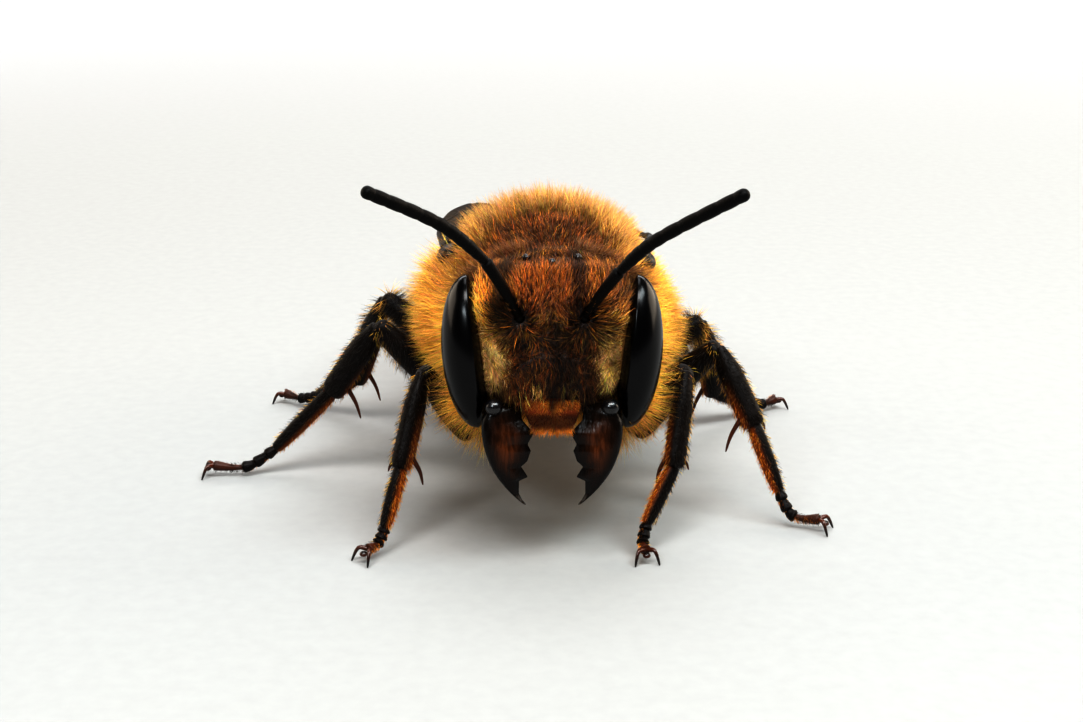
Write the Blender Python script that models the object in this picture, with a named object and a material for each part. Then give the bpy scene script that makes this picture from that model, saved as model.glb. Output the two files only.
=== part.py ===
"""A giant resin bee (a female Megachile) standing on its six legs, life size, in named solids.

Units are metres, +Z is up and the floor is z = 0. The bee faces -Y, so its own left side is at +X.
The origin is on the floor, in the middle of the bee's outline as seen from above. Each solid
reaches out to the tips of the coat that covers it, and neighbours are parted by a thin seam.
"""

import math

import bmesh
import bpy
from mathutils import Matrix, Vector

MM = 0.001
SEAM = 0.05 * MM  # the thin cut between two neighbouring pieces
SIDES = {"left": 1, "right": -1}  # the bee's own sides, with the sign of their x

# Where the middle of the head stands over the floor, from the middle of the outline.
HEAD_PLACE = Vector((1.486, -8.2315, 7.00)) * MM
HEAD_RAISED = math.radians(8)  # the face looks this far above the horizon

# Head, out to the tips of its coat: half sizes round a centre a little above the eyes' middle.
HEAD_HALF_WIDTH = 3.25 * MM
HEAD_FRONT = 1.60 * MM
HEAD_BACK = 1.80 * MM
HEAD_TOP = 3.35 * MM
HEAD_BOTTOM = -2.20 * MM
HEAD_MIDDLE = 0.30 * MM
HEAD_ROUNDING = 0.85  # under 1 the head is boxier than an ellipse, seen from above
EYE_HALF = Vector((0.95, 1.20, 2.42)) * MM
EYE_PLACE = Vector((2.50, -0.38, -0.30)) * MM
EYE_LEAN = math.radians(4)

# Jaws and lip, in the head's frame.
JAW_ROOT = Vector((1.66, -1.05, -2.00)) * MM
JAW_TIP = Vector((0.86, -1.05, -5.05)) * MM
JAW_LENGTH = 3.05 * MM
JAW_OUTER_EDGE = 2.25 * MM
JAW_INNER_EDGE = 1.06 * MM
JAW_BEND = 1.37 * MM  # how far the outer edge curves in towards the tip
JAW_BOW = 0.30 * MM  # how far the blade bows forward
JAW_HALF_THICKNESS = (0.52 * MM, 0.22 * MM)  # at the root and at the tip
# Place, width and height of each tooth.
JAW_TEETH = ((0.30, 0.10, 0.42 * MM), (0.50, 0.10, 0.36 * MM), (0.78, 0.08, 0.32 * MM))
JAW_STATIONS = (0.0, 0.10, 0.20, 0.30, 0.37, 0.44, 0.50, 0.58, 0.67, 0.74, 0.78, 0.83, 0.88, 0.94)
LIP_TOP = Vector((0, -1.20, -2.05)) * MM
LIP_HEIGHT = 0.85 * MM
LIP_HALF_WIDTH = (0.76 * MM, 0.60 * MM)  # at its top and at its lower edge
LIP_HALF_THICKNESS = 0.30 * MM

# Thorax, out to the tips of its coat, in the bee's own frame with the head's middle at x = y = 0.
THORAX_MIDDLE = Vector((-0.05, 6.02, 6.05)) * MM
THORAX_HALF = Vector((4.95, 4.28, 4.45)) * MM  # its z is how far the coat reaches up
THORAX_DOWN = 3.50 * MM
THORAX_TAPER = 0.14  # how much narrower the thorax gets towards its top
TEGULA_PLACE = Vector((3.58, 5.50, 8.60)) * MM
TEGULA_HALF = Vector((0.50, 0.80, 0.42)) * MM
TEGULA_LEAN = math.radians(35)

# Abdomen: its axis leaves the waist towards the bee's right and sinks a little at the tip.
WAIST = Vector((-0.65, 9.85, 4.65)) * MM
ABDOMEN_TURN = math.radians(9)
ABDOMEN_LENGTH = 11.5 * MM
ABDOMEN_HALF_WIDTH = 3.50 * MM
ABDOMEN_UP = 2.15 * MM
ABDOMEN_DOWN = 2.30 * MM
ABDOMEN_WIDEST = 0.40  # share of the length
ABDOMEN_SINK = 0.80 * MM
PETIOLE_HALF = 0.80 * MM
SEGMENT_ENDS = (0.0, 0.20, 0.41, 0.61, 0.79, 0.92, 1.0)  # shares of the abdomen's length
SEGMENT_STEP = 0.07 * MM  # how far each ring's rear edge stands over the next ring

# Wings, folded back over the abdomen. Half thickness keeps them 0.5 mm thick.
WING_HALF_THICKNESS = 0.25 * MM
WING_TURN = math.radians(9)
WING_ROOT = Vector((3.75, 6.50, 8.78)) * MM  # its z is the height the blades would have over the midline
WING_DROOP = 0.140  # the blades sink by this share of the way back from the root
WING_ARCH = 0.020 / MM  # and by this times the square of the way from the midline
# (root's way back, length, outward swell, inner edge, tip's way from the midline, depth under the forewing)
FOREWING = (0.0 * MM, 14.0 * MM, 0.45 * MM, 0.05 * MM, 1.05 * MM, 0.0 * MM)
HINDWING = (1.1 * MM, 10.0 * MM, 0.00 * MM, 0.15 * MM, 1.30 * MM, 0.56 * MM)

FEELER_HALF = 0.25 * MM
FEELER_SOCKET = Vector((1.05, -1.25, 0.92)) * MM
# Elbow, middle and tip of each antenna in the head's frame, in millimetres.
FEELER_JOINTS = {
    "left": ((2.00, -2.60, 2.50), (3.05, -3.60, 3.55), (5.45, -5.40, 5.05)),
    "right": ((-2.00, -2.60, 2.80), (-3.25, -3.80, 4.00), (-5.33, -5.40, 5.11)),
}
CLAW_SPREAD = 0.42 * MM

# Joints of each leg in the bee's frame, in millimetres: where it leaves the body, its hip, knee,
# ankle, the end of its long first foot joint, and the foot's path down to the claws.
LEG_JOINTS = {
    "front_right": ((-1.30, 4.20, 3.60), (-2.75, 3.00, 2.65), (-4.20, 1.55, 5.45), (-4.85, 0.05, 2.70),
                    (-5.35, -0.75, 0.95), (-5.55, -1.00, 0.52), (-5.85, -1.30, 0.42)),
    "front_left": ((1.20, 4.20, 3.60), (2.90, 3.00, 2.75), (4.38, 1.50, 5.50), (3.95, 0.20, 2.70),
                   (3.05, -0.55, 1.00), (2.92, -0.95, 0.52), (2.98, -1.35, 0.42)),
    "middle_right": ((-1.50, 6.00, 3.70), (-3.10, 5.40, 3.05), (-6.00, 5.20, 5.90), (-7.70, 6.00, 3.25),
                     (-9.85, 6.20, 1.00), (-10.90, 6.05, 0.36), (-12.10, 6.00, 0.42)),
    "middle_left": ((1.30, 6.00, 3.60), (3.10, 5.20, 2.85), (5.65, 4.00, 5.50), (6.80, 2.80, 3.15),
                    (7.60, 1.80, 1.15), (8.05, 1.45, 0.42), (8.90, 1.10, 0.42)),
    "hind_right": ((-1.60, 8.10, 3.80), (-2.90, 9.00, 3.05), (-6.20, 10.30, 5.40), (-7.50, 11.80, 1.80),
                   (-9.20, 13.10, 0.62), (-9.90, 13.50, 0.36), (-10.60, 13.90, 0.42)),
    "hind_left": ((1.30, 8.10, 3.80), (2.50, 9.00, 3.05), (5.65, 10.10, 4.55), (6.30, 11.10, 1.50),
                  (7.90, 12.35, 0.62), (8.40, 12.80, 0.36), (8.95, 13.20, 0.42)),
}
# Half widths along each leg in millimetres: hip, thigh's belly, knee end, shin's root and belly, foot.
LEG_GIRTHS = {
    "front": {"coxa": 0.62, "femur": 0.52, "tibia": 0.47, "basitarsus": 0.30},
    "middle": {"coxa": 0.66, "femur": 0.56, "tibia": 0.54, "basitarsus": 0.33},
    "hind": {"coxa": 0.72, "femur": 0.62, "tibia": 0.66, "basitarsus": 0.42},
}
COXA_END_HALF = 0.40 * MM
HIP_HALF = 0.28 * MM
KNEE_HALF = 0.36 * MM
ANKLE_HALF = 0.38 * MM
HEEL_HALF = 0.26 * MM
FOOT_HALF = 0.25 * MM
FLATTENING = 0.82  # a leg's depth to its width
JOINT_OVERRUN = 0.08 * MM  # how far a length of leg runs on past its joint
# Half of the claws' arch: steps to the side and ahead in claw spreads, and the height over the floor.
CLAW_ARCH = ((0.4, 0.05, 0.46 * MM), (1.0, 0.55, 0.40 * MM), (1.15, 1.0, -0.12 * MM))
CLAW_HALF = (0.10 * MM, 0.20 * MM)  # at the tips and in the middle of the arch


RIGHTWARD = Vector((1, 0, 0))
BACKWARD = Vector((0, 1, 0))
UPWARD = Vector((0, 0, 1))


# ---------------------------------------------------------------- scene and materials

def clear_scene():
    for old in list(bpy.data.objects):
        bpy.data.objects.remove(old)


def material(name, colour, roughness):
    """A plain Principled finish."""
    made = bpy.data.materials.new(name)
    made.use_nodes = True
    shader = made.node_tree.nodes["Principled BSDF"]
    shader.inputs["Base Color"].default_value = (*colour, 1.0)
    shader.inputs["Roughness"].default_value = roughness
    shader.inputs["Metallic"].default_value = 0.0
    return made


def make_materials():
    return {
        "golden_coat": material("golden_coat", (0.72, 0.36, 0.07), 0.75),
        "brown_coat": material("brown_coat", (0.20, 0.09, 0.03), 0.75),
        "black_shell": material("black_shell", (0.015, 0.013, 0.012), 0.32),
        "dark_leg": material("dark_leg", (0.030, 0.018, 0.012), 0.45),
        "rusty_foot": material("rusty_foot", (0.16, 0.05, 0.015), 0.50),
        "compound_eye": material("compound_eye", (0.006, 0.007, 0.010), 0.12),
        "jaw_shell": material("jaw_shell", (0.06, 0.015, 0.008), 0.25),
        "lip_shell": material("lip_shell", (0.35, 0.09, 0.02), 0.40),
        "wing_film": material("wing_film", (0.14, 0.09, 0.05), 0.25),
    }


def placed(place, turn, axis):
    """A frame at place, turned about one of its own axes."""
    return Matrix.Translation(place) @ Matrix.Rotation(turn, 4, axis)


def frame_empty(name, matrix):
    """An empty that carries the pieces of one part of the body."""
    empty = bpy.data.objects.new(name, None)
    empty.matrix_world = matrix
    bpy.context.scene.collection.objects.link(empty)
    return empty


# ---------------------------------------------------------------- closed shapes

def loft(name, rings, finish, parent=None):
    """One closed object from a list of rings of points; a ring of one point is a pole."""
    mesh_builder = bmesh.new()
    loops = [[mesh_builder.verts.new(point) for point in ring] for ring in rings]
    for first, second in zip(loops, loops[1:]):
        bridge(mesh_builder, first, second)
    for end in (loops[0], loops[-1]):
        if len(end) > 1:
            mesh_builder.faces.new(end)
    bmesh.ops.recalc_face_normals(mesh_builder, faces=mesh_builder.faces)
    mesh = bpy.data.meshes.new(name)
    mesh_builder.to_mesh(mesh)
    mesh_builder.free()
    mesh.shade_smooth()
    mesh.set_sharp_from_angle(angle=math.radians(50))
    mesh.materials.append(finish)
    made = bpy.data.objects.new(name, mesh)
    bpy.context.scene.collection.objects.link(made)
    made.parent = parent
    return made


def bridge(mesh_builder, first, second):
    """Faces between two neighbouring rings, either of which may be a pole."""
    count = max(len(first), len(second))
    for i in range(count):
        j = (i + 1) % count
        corners = [ring[k % len(ring)] for ring, k in ((first, i), (first, j), (second, j), (second, i))]
        distinct = list(dict.fromkeys(corners))
        if len(distinct) > 2:
            mesh_builder.faces.new(distinct)


def soft_power(value, power):
    """A signed power, which rounds a circle (1) towards a box (under 1)."""
    return math.copysign(abs(value) ** power, value)


def oval(centre, across, upward, half_across, half_up, half_down, sides, boxy=1.0, taper=0.0):
    """A ring round centre; its upper and lower halves may differ, and taper narrows its top."""
    ring = []
    for i in range(sides):
        angle = 2 * math.pi * i / sides
        side = soft_power(math.cos(angle), boxy)
        rise = soft_power(math.sin(angle), boxy)
        height = half_up if rise > 0 else half_down
        ring.append(centre + across * (half_across * side * (1 - taper * rise)) + upward * (height * rise))
    return ring


def ellipsoid(name, half, finish, parent, matrix, around=16, along=9):
    """An ellipsoid whose poles lie on its own z axis, put in place by matrix."""
    rings = []
    for i in range(along + 1):
        polar = math.pi * i / along
        centre = Vector((0, 0, -half.z * math.cos(polar)))
        reach = math.sin(polar)
        if i in (0, along):
            rings.append([matrix @ centre])
        else:
            ring = oval(centre, RIGHTWARD, BACKWARD, half.x * reach, half.y * reach, half.y * reach, around)
            rings.append([matrix @ point for point in ring])
    return loft(name, rings, finish, parent)


def curve_point(path, share):
    """A point of the smooth (Catmull-Rom) curve through the path's points."""
    last = len(path) - 1
    at = min(share * last, last - 1e-9)
    i = int(at)
    t = at - i
    before, start, end, after = (path[min(max(k, 0), last)] for k in (i - 1, i, i + 1, i + 2))
    return 0.5 * (2 * start + (end - before) * t + (2 * before - 5 * start + 4 * end - after) * t * t
                  + (3 * start - before - 3 * end + after) * t ** 3)


def limb(name, path, half_width, finish, parent, flat=1.0, sides=8, steps=6, round_end=0.12):
    """A rod along a smooth path with round ends. half_width is a function of the share along it."""
    rings = [[path[0]]]
    for i in range(steps + 1):
        share = round_end / 2 + (1 - round_end) * i / steps
        share = min(max(share, round_end * 0.3), 1 - round_end * 0.3)
        near_end = min(share, 1 - share) / round_end
        fullness = math.sqrt(max(1 - (1 - min(near_end, 1)) ** 2, 0))
        centre = curve_point(path, share)
        ahead = curve_point(path, min(share + 0.02, 1)) - curve_point(path, max(share - 0.02, 0))
        ahead.normalize()
        across = (UPWARD - ahead * UPWARD.dot(ahead)).normalized()
        beside = ahead.cross(across)
        reach = half_width(share) * fullness
        rings.append(oval(centre, across, beside, reach, reach * flat, reach * flat, sides))
    rings.append([path[-1]])
    return loft(name, rings, finish, parent)


# ---------------------------------------------------------------- seams and joins

def helper_copy(piece, grown_by):
    """A hidden copy of a piece, a seam's width larger all round, to cut its neighbour with."""
    mesh = piece.data.copy()
    normals = [vertex.normal.copy() for vertex in mesh.vertices]
    for vertex, normal in zip(mesh.vertices, normals):
        vertex.co += normal * grown_by
    helper = bpy.data.objects.new(piece.name + "_cutter", mesh)
    bpy.context.scene.collection.objects.link(helper)
    helper.parent = piece.parent
    helper.hide_render = True
    helper.display_type = "WIRE"
    return helper


def boolean(piece, helper, operation):
    step = piece.modifiers.new(operation.lower(), "BOOLEAN")
    step.operation = operation
    step.solver = "EXACT"
    step.object = helper


def part_from(piece, *neighbours):
    """Cuts the neighbours' shapes, with a seam, out of piece."""
    for neighbour in neighbours:
        boolean(piece, helper_copy(neighbour, SEAM), "DIFFERENCE")


def join_to(piece, other):
    """Makes other a part of piece."""
    other.hide_render = True
    other.display_type = "WIRE"
    boolean(piece, other, "UNION")


# ---------------------------------------------------------------- head

def head_ring(up, sides=20):
    """The head's outline at a height over its middle: broad between the eyes, with a flat face."""
    above = up > HEAD_MIDDLE
    reach = (HEAD_TOP if above else HEAD_BOTTOM) - HEAD_MIDDLE
    power = 2.0 if above else 2.6
    share = max(1 - abs((up - HEAD_MIDDLE) / reach) ** power, 0) ** (1 / power)
    ring = []
    for i in range(sides):
        angle = 2 * math.pi * i / sides
        side = HEAD_HALF_WIDTH * share * soft_power(math.cos(angle), HEAD_ROUNDING)
        depth = soft_power(math.sin(angle), HEAD_ROUNDING)
        depth *= (HEAD_BACK if depth > 0 else HEAD_FRONT) * share ** 0.55
        ring.append(Vector((side, depth, up)))
    return ring


def make_head(finishes, frame):
    steps = 10
    rings = []
    for i in range(steps + 1):
        turn = -math.cos(math.pi * i / steps)
        reach = (HEAD_TOP if turn > 0 else HEAD_BOTTOM) - HEAD_MIDDLE
        up = HEAD_MIDDLE + abs(turn) * reach
        if i in (0, steps):
            rings.append([Vector((0, 0, up))])
        else:
            rings.append(head_ring(up))
    return loft("head", rings, finishes["brown_coat"], frame)


def make_eye(side, sign, finishes, frame):
    place = Vector((sign * EYE_PLACE.x, EYE_PLACE.y, EYE_PLACE.z))
    matrix = placed(place, sign * EYE_LEAN, "Y")
    return ellipsoid(f"eye_{side}", EYE_HALF, finishes["compound_eye"], frame, matrix, 14, 10)


def make_antenna(side, sign, finishes, frame):
    """The short scape from its socket to the elbow, then the long flagellum out, up and forward."""
    elbow, bend, tip = (Vector(point) * MM for point in FEELER_JOINTS[side])
    socket = Vector((sign * FEELER_SOCKET.x, FEELER_SOCKET.y, FEELER_SOCKET.z))
    scape = limb(f"scape_{side}", [socket, elbow], lambda share: FEELER_HALF, finishes["black_shell"], frame)
    start = elbow + (bend - elbow).normalized() * (0.4 * FEELER_HALF)
    flagellum = limb(f"flagellum_{side}", [start, bend, tip], lambda share: FEELER_HALF,
                     finishes["black_shell"], frame, steps=8, round_end=0.06)
    part_from(flagellum, scape)
    return scape


def tooth(share, place, width, height):
    """How far a tooth stands out of the inner edge at a share of the jaw's length."""
    return height * max(0.0, 1 - abs(share - place) / width)


def make_mandible(side, sign, finishes, frame):
    """A broad open jaw: a curved outer edge, three teeth along the inner edge, a hooked tip."""
    rings = []
    thick_root, thick_tip = JAW_HALF_THICKNESS
    for share in JAW_STATIONS:
        outer = JAW_OUTER_EDGE - JAW_BEND * share ** 2.6
        inner = JAW_INNER_EDGE - sum(tooth(share, *shape) for shape in JAW_TEETH)
        forward = JAW_BOW * math.sin(math.pi * share)
        centre = Vector((sign * (outer + inner) / 2, JAW_ROOT.y - forward, JAW_ROOT.z - JAW_LENGTH * share))
        thick = thick_root + (thick_tip - thick_root) * share
        rings.append(oval(centre, RIGHTWARD, BACKWARD, (outer - inner) / 2, thick, thick, 8, 0.9))
    rings.append([Vector((sign * JAW_TIP.x, JAW_TIP.y, JAW_TIP.z))])
    return loft(f"mandible_{side}", rings, finishes["jaw_shell"], frame)


def make_labrum(finishes, frame):
    """The upper lip, a small plate that hangs between the jaws' roots."""
    rings = []
    top_half, low_half = LIP_HALF_WIDTH
    for share in (0.0, 0.15, 0.5, 0.85, 1.0):
        centre = LIP_TOP - UPWARD * (LIP_HEIGHT * share)
        half = top_half + (low_half - top_half) * share ** 2
        thick = LIP_HALF_THICKNESS * (0.6 + 0.4 * math.sin(math.pi * share))
        rings.append(oval(centre, RIGHTWARD, BACKWARD, half, thick, thick, 12, 0.6))
    return loft("labrum", rings, finishes["lip_shell"], frame)


# ---------------------------------------------------------------- thorax and abdomen

def make_thorax(finishes, frame):
    steps = 11
    rings = []
    for i in range(steps + 1):
        turn = math.pi * i / steps
        centre = THORAX_MIDDLE + Vector((0, -THORAX_HALF.y * soft_power(math.cos(turn), 0.9), 0))
        reach = math.sin(turn)
        if i in (0, steps):
            rings.append([centre])
        else:
            rings.append(oval(centre, RIGHTWARD, UPWARD, THORAX_HALF.x * reach, THORAX_HALF.z * reach,
                              THORAX_DOWN * reach, 22, 0.95, THORAX_TAPER))
    return loft("thorax", rings, finishes["golden_coat"], frame)


def make_tegula(side, sign, finishes, frame):
    """The scale over the wing's root."""
    place = Vector((sign * TEGULA_PLACE.x + THORAX_MIDDLE.x, TEGULA_PLACE.y, TEGULA_PLACE.z))
    matrix = placed(place, sign * TEGULA_LEAN, "Y")
    return ellipsoid(f"tegula_{side}", TEGULA_HALF, finishes["black_shell"], frame, matrix, 12, 6)


def abdomen_fullness(share):
    """How full the abdomen is along its length: a blunt front, a long taper to a rounded tip."""
    if share < ABDOMEN_WIDEST:
        return (1 - ((ABDOMEN_WIDEST - share) / ABDOMEN_WIDEST) ** 2.8) ** (1 / 2.8)
    return (1 - ((share - ABDOMEN_WIDEST) / (1 - ABDOMEN_WIDEST)) ** 2.3) ** (1 / 2.1)


def abdomen_ring(share, swell, sides=20):
    full = abdomen_fullness(share)
    centre = Vector((0, ABDOMEN_LENGTH * share, -ABDOMEN_SINK * share ** 2))
    least = PETIOLE_HALF if share < ABDOMEN_WIDEST else 0.0
    halves = (ABDOMEN_HALF_WIDTH, ABDOMEN_UP, ABDOMEN_DOWN)
    across, up, down = (max(half * full, least) + swell for half in halves)
    return oval(centre, RIGHTWARD, UPWARD, across, up, down, sides, 0.95)


def make_abdomen(finishes, frame):
    """Six rings, each a little wider at its rear edge than the front of the next."""
    segments = []
    half_seam = SEAM / ABDOMEN_LENGTH / 2
    last = len(SEGMENT_ENDS) - 1
    for number, (start, end) in enumerate(zip(SEGMENT_ENDS, SEGMENT_ENDS[1:]), 1):
        rings = []
        steps = 5 if number in (1, last) else 3
        for i in range(steps + 1):
            within = i / steps
            if number == 1:
                within = within ** 1.7  # closer rings where the waist opens out
            elif number == last:
                within = 1 - (1 - within) ** 1.7  # closer rings round the tip
            share = min(max(start + (end - start) * within, start + half_seam), end - half_seam)
            if number == last and i == steps:
                rings.append([Vector((0, ABDOMEN_LENGTH, -ABDOMEN_SINK))])
            else:
                rings.append(abdomen_ring(share, SEGMENT_STEP * within if number < last else 0.0))
        coat = "golden_coat" if number == 1 else "black_shell"
        segments.append(loft(f"abdomen_{number}", rings, finishes[coat], frame))
    return segments


# ---------------------------------------------------------------- wings

def smooth(value):
    """Rises gently from 0 to 1."""
    value = min(max(value, 0.0), 1.0)
    return value * value * (3 - 2 * value)


def wing_edges(share, swell, inner_edge, tip):
    """How far from the midline the inner and the outer edge run at a share of a folded wing's length."""
    apex = max((share - 0.78) / 0.22, 0.0)
    rounding = math.sqrt(max(1 - apex ** 2.2, 0.0))
    outer = WING_ROOT.x + (tip + 0.60 * MM - WING_ROOT.x) * share + swell * math.sin(math.pi * share)
    inner = WING_ROOT.x - 0.30 * MM - (WING_ROOT.x - 0.30 * MM - inner_edge) * smooth(share / 0.42)
    return tip + (inner - tip) * rounding, tip + (outer - tip) * rounding


def make_wing(name, shape, sign, finishes, frame):
    """A thin arched blade that lies back over the abdomen with its front edge outwards."""
    behind, length, swell, inner_edge, tip, depth = shape
    steps = 12
    rings = []
    for i in range(steps + 1):
        share = math.sin(math.pi / 2 * i / steps) * 0.99
        inner, outer = wing_edges(share, swell, inner_edge, tip)
        middle = (inner + outer) / 2
        half = max((outer - inner) / 2, WING_HALF_THICKNESS)
        back = behind + length * share
        ring = []
        for side, level in ((0, 0.4), (0, -0.4), (0.05, -1), (0.5, -1), (0.95, -1),
                            (1, -0.4), (1, 0.4), (0.95, 1), (0.5, 1), (0.05, 1)):
            out = middle + half * (2 * side - 1)
            height = WING_ROOT.z - depth - WING_DROOP * back - WING_ARCH * out ** 2
            ring.append(Vector((sign * out, back, height + level * WING_HALF_THICKNESS)))
        rings.append(ring)
    return loft(name, rings, finishes["wing_film"], frame)


# ---------------------------------------------------------------- legs

def swollen(root, belly, tip, at=0.5):
    """A half width that goes from root to belly, at a share of the length, and on to tip."""
    def half_width(share):
        if share < at:
            return root + (belly - root) * math.sin(math.pi / 2 * share / at)
        return tip + (belly - tip) * math.sin(math.pi / 2 * (1 - share) / (1 - at))
    return half_width


def past(start, end, distance):
    """A point beyond end on the line from start."""
    return end + (end - start).normalized() * distance


def make_claws(leg, toe, foot, finishes, frame):
    """Both claws as one arch, whose tips stand on the floor on small flats."""
    ahead = Vector((foot.x - toe.x, foot.y - toe.y, 0)).normalized()
    across = ahead.cross(UPWARD)
    path = []
    for sign, points in ((-1, reversed(CLAW_ARCH)), (1, CLAW_ARCH)):
        for aside, forward, height in points:
            place = foot + (across * (sign * aside) + ahead * forward) * CLAW_SPREAD
            path.append(Vector((place.x, place.y, height)))
    thin, thick = CLAW_HALF
    return limb(f"claws_{leg}", path, lambda share: thin + (thick - thin) * math.sin(math.pi * share),
                finishes["rusty_foot"], frame, sides=5, steps=8, round_end=0.05)


def stand_on_floor(piece):
    """Flattens whatever of the piece's mesh would lie below the floor."""
    for vertex in piece.data.vertices:
        vertex.co.z = max(vertex.co.z, 0.0)


def make_leg(leg, finishes, frame):
    """Coxa with trochanter, femur, tibia, basitarsus, and the foot with its claws."""
    pair = leg.split("_")[0]
    girth = {part: half * MM for part, half in LEG_GIRTHS[pair].items()}
    body, hip, knee, ankle, heel, toe, foot = (Vector(joint) * MM for joint in LEG_JOINTS[leg])
    shell = finishes["dark_leg"]
    coxa = limb(f"coxa_{leg}", [body, hip], swollen(girth["coxa"], girth["coxa"], COXA_END_HALF, 0.3),
                shell, frame, round_end=0.25)
    femur = limb(f"femur_{leg}", [hip, past(hip, knee, JOINT_OVERRUN)],
                 swollen(HIP_HALF, girth["femur"], KNEE_HALF, 0.45), shell, frame, FLATTENING)
    tibia = limb(f"tibia_{leg}", [knee, past(knee, ankle, JOINT_OVERRUN)],
                 swollen(HIP_HALF, girth["tibia"], ANKLE_HALF, 0.72), shell, frame, FLATTENING)
    basitarsus = limb(f"basitarsus_{leg}", [ankle, heel],
                      swollen(HEEL_HALF, girth["basitarsus"], HEEL_HALF), shell, frame, FLATTENING, 8, 4)
    tarsus = limb(f"tarsus_{leg}", [heel, toe, foot], lambda share: FOOT_HALF, finishes["rusty_foot"], frame,
                  sides=6, steps=4, round_end=0.10)
    claws = make_claws(leg, toe, foot, finishes, frame)
    for piece in (tarsus, claws):
        stand_on_floor(piece)
    join_to(tarsus, claws)
    part_from(femur, coxa)
    part_from(tibia, femur)
    part_from(basitarsus, tibia)
    part_from(tarsus, basitarsus)
    return coxa, femur


# ---------------------------------------------------------------- the whole bee

def main():
    clear_scene()
    finishes = make_materials()
    whole = Matrix.Translation((HEAD_PLACE.x, HEAD_PLACE.y, 0))
    bee = frame_empty("bee_frame", whole)
    head_frame = frame_empty("head_frame", placed(HEAD_PLACE, -HEAD_RAISED, "X"))
    abdomen_frame = frame_empty("abdomen_frame", whole @ placed(WAIST, ABDOMEN_TURN, "Z"))
    wing_frame = frame_empty("wing_frame", whole @ placed((THORAX_MIDDLE.x, WING_ROOT.y, 0), WING_TURN, "Z"))
    head = make_head(finishes, head_frame)
    thorax = make_thorax(finishes, bee)
    labrum = make_labrum(finishes, head_frame)
    part_from(labrum, head)
    part_from(thorax, head)
    for side, sign in SIDES.items():
        eye = make_eye(side, sign, finishes, head_frame)
        mandible = make_mandible(side, sign, finishes, head_frame)
        scape = make_antenna(side, sign, finishes, head_frame)
        part_from(head, eye)
        part_from(mandible, head, eye)
        part_from(scape, head)
        tegula = make_tegula(side, sign, finishes, bee)
        forewing = make_wing(f"forewing_{side}", FOREWING, sign, finishes, wing_frame)
        hindwing = make_wing(f"hindwing_{side}", HINDWING, sign, finishes, wing_frame)
        part_from(forewing, tegula)
        part_from(thorax, tegula, forewing, hindwing)
    segments = make_abdomen(finishes, abdomen_frame)
    part_from(segments[0], thorax)
    for leg in LEG_JOINTS:
        coxa, femur = make_leg(leg, finishes, bee)
        part_from(thorax, femur)
        part_from(coxa, thorax)


main()
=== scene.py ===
# %% [markdown]
# # A giant resin bee, life size
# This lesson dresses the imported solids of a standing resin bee: head, thorax, abdomen, wings, six
# legs and feelers. The solids reach out to the tips of the coat, so the hard shell goes inside
# them, and the hair fills the space between. Every form below is a surface worked out with numpy,
# in millimetres, in the frame of the part of the body that it belongs to.

# %% The frame
import math

import bpy
import numpy as np
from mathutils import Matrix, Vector


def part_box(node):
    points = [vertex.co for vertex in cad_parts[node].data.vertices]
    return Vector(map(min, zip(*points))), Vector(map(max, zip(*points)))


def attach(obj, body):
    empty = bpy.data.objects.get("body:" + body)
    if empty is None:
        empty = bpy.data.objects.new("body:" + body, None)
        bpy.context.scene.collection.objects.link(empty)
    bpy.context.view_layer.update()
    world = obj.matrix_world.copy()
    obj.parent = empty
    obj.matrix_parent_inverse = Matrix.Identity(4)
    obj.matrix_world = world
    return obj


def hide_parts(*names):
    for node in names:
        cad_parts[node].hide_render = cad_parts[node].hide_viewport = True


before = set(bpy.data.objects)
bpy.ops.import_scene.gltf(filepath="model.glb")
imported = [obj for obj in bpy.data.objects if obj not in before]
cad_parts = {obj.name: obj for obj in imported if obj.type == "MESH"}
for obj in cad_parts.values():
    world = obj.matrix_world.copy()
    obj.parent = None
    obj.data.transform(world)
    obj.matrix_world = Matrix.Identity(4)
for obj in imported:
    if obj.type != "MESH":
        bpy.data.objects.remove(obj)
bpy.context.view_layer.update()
MM = 0.001
SIDES = {"left": 1, "right": -1}  # the bee's own sides, with the sign of their x
print("the packed model has", len(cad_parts), "nodes")

# %% [markdown]
# ## Where the parts of the body are
# The bee was built in four local frames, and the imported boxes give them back. The head looks up by
# 8 degrees round the middle of its eyes, the abdomen leaves the waist 9 degrees to the bee's right,
# and the folded wings follow it. A frame here is a turn and a place, and `Spot` carries both.

# %% Local frames


class Spot:
    """A local frame: points are turned about one axis and moved, then changed to metres."""

    def __init__(self, place, turn=0.0, axis="z"):
        c, s = math.cos(math.radians(turn)), math.sin(math.radians(turn))
        turns = {"x": [[1, 0, 0], [0, c, -s], [0, s, c]], "z": [[c, -s, 0], [s, c, 0], [0, 0, 1]]}
        self.turn = np.array(turns[axis])
        self.place = np.array(place, float)

    def out(self, points):
        """Local millimetres to the scene's metres."""
        return (points @ self.turn.T + self.place) * MM


def middle(node):
    """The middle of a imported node's box, in millimetres."""
    low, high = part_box(node)
    return (np.array(low) + np.array(high)) / 2 / MM


HEAD_RAISED = -8
EYE_PLACE = np.array((2.50, -0.38, -0.30))  # the left eye's middle in the head's frame
head = Spot((0, 0, 0), HEAD_RAISED, "x")
head.place = (middle("eye_left") + middle("eye_right")) / 2 - head.turn @ (EYE_PLACE * (0, 1, 1))
bee = Spot((head.place[0], head.place[1], 0))
THORAX = np.array((-0.05, 6.02, 6.05))  # the thorax's middle in the bee's frame
abdomen = Spot(bee.place + (-0.65, 9.85, 4.65), 9)
wings = Spot(bee.place + (THORAX[0], 6.50, 0), 9)
print("the head's middle is at", head.place.round(3), "mm")

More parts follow.
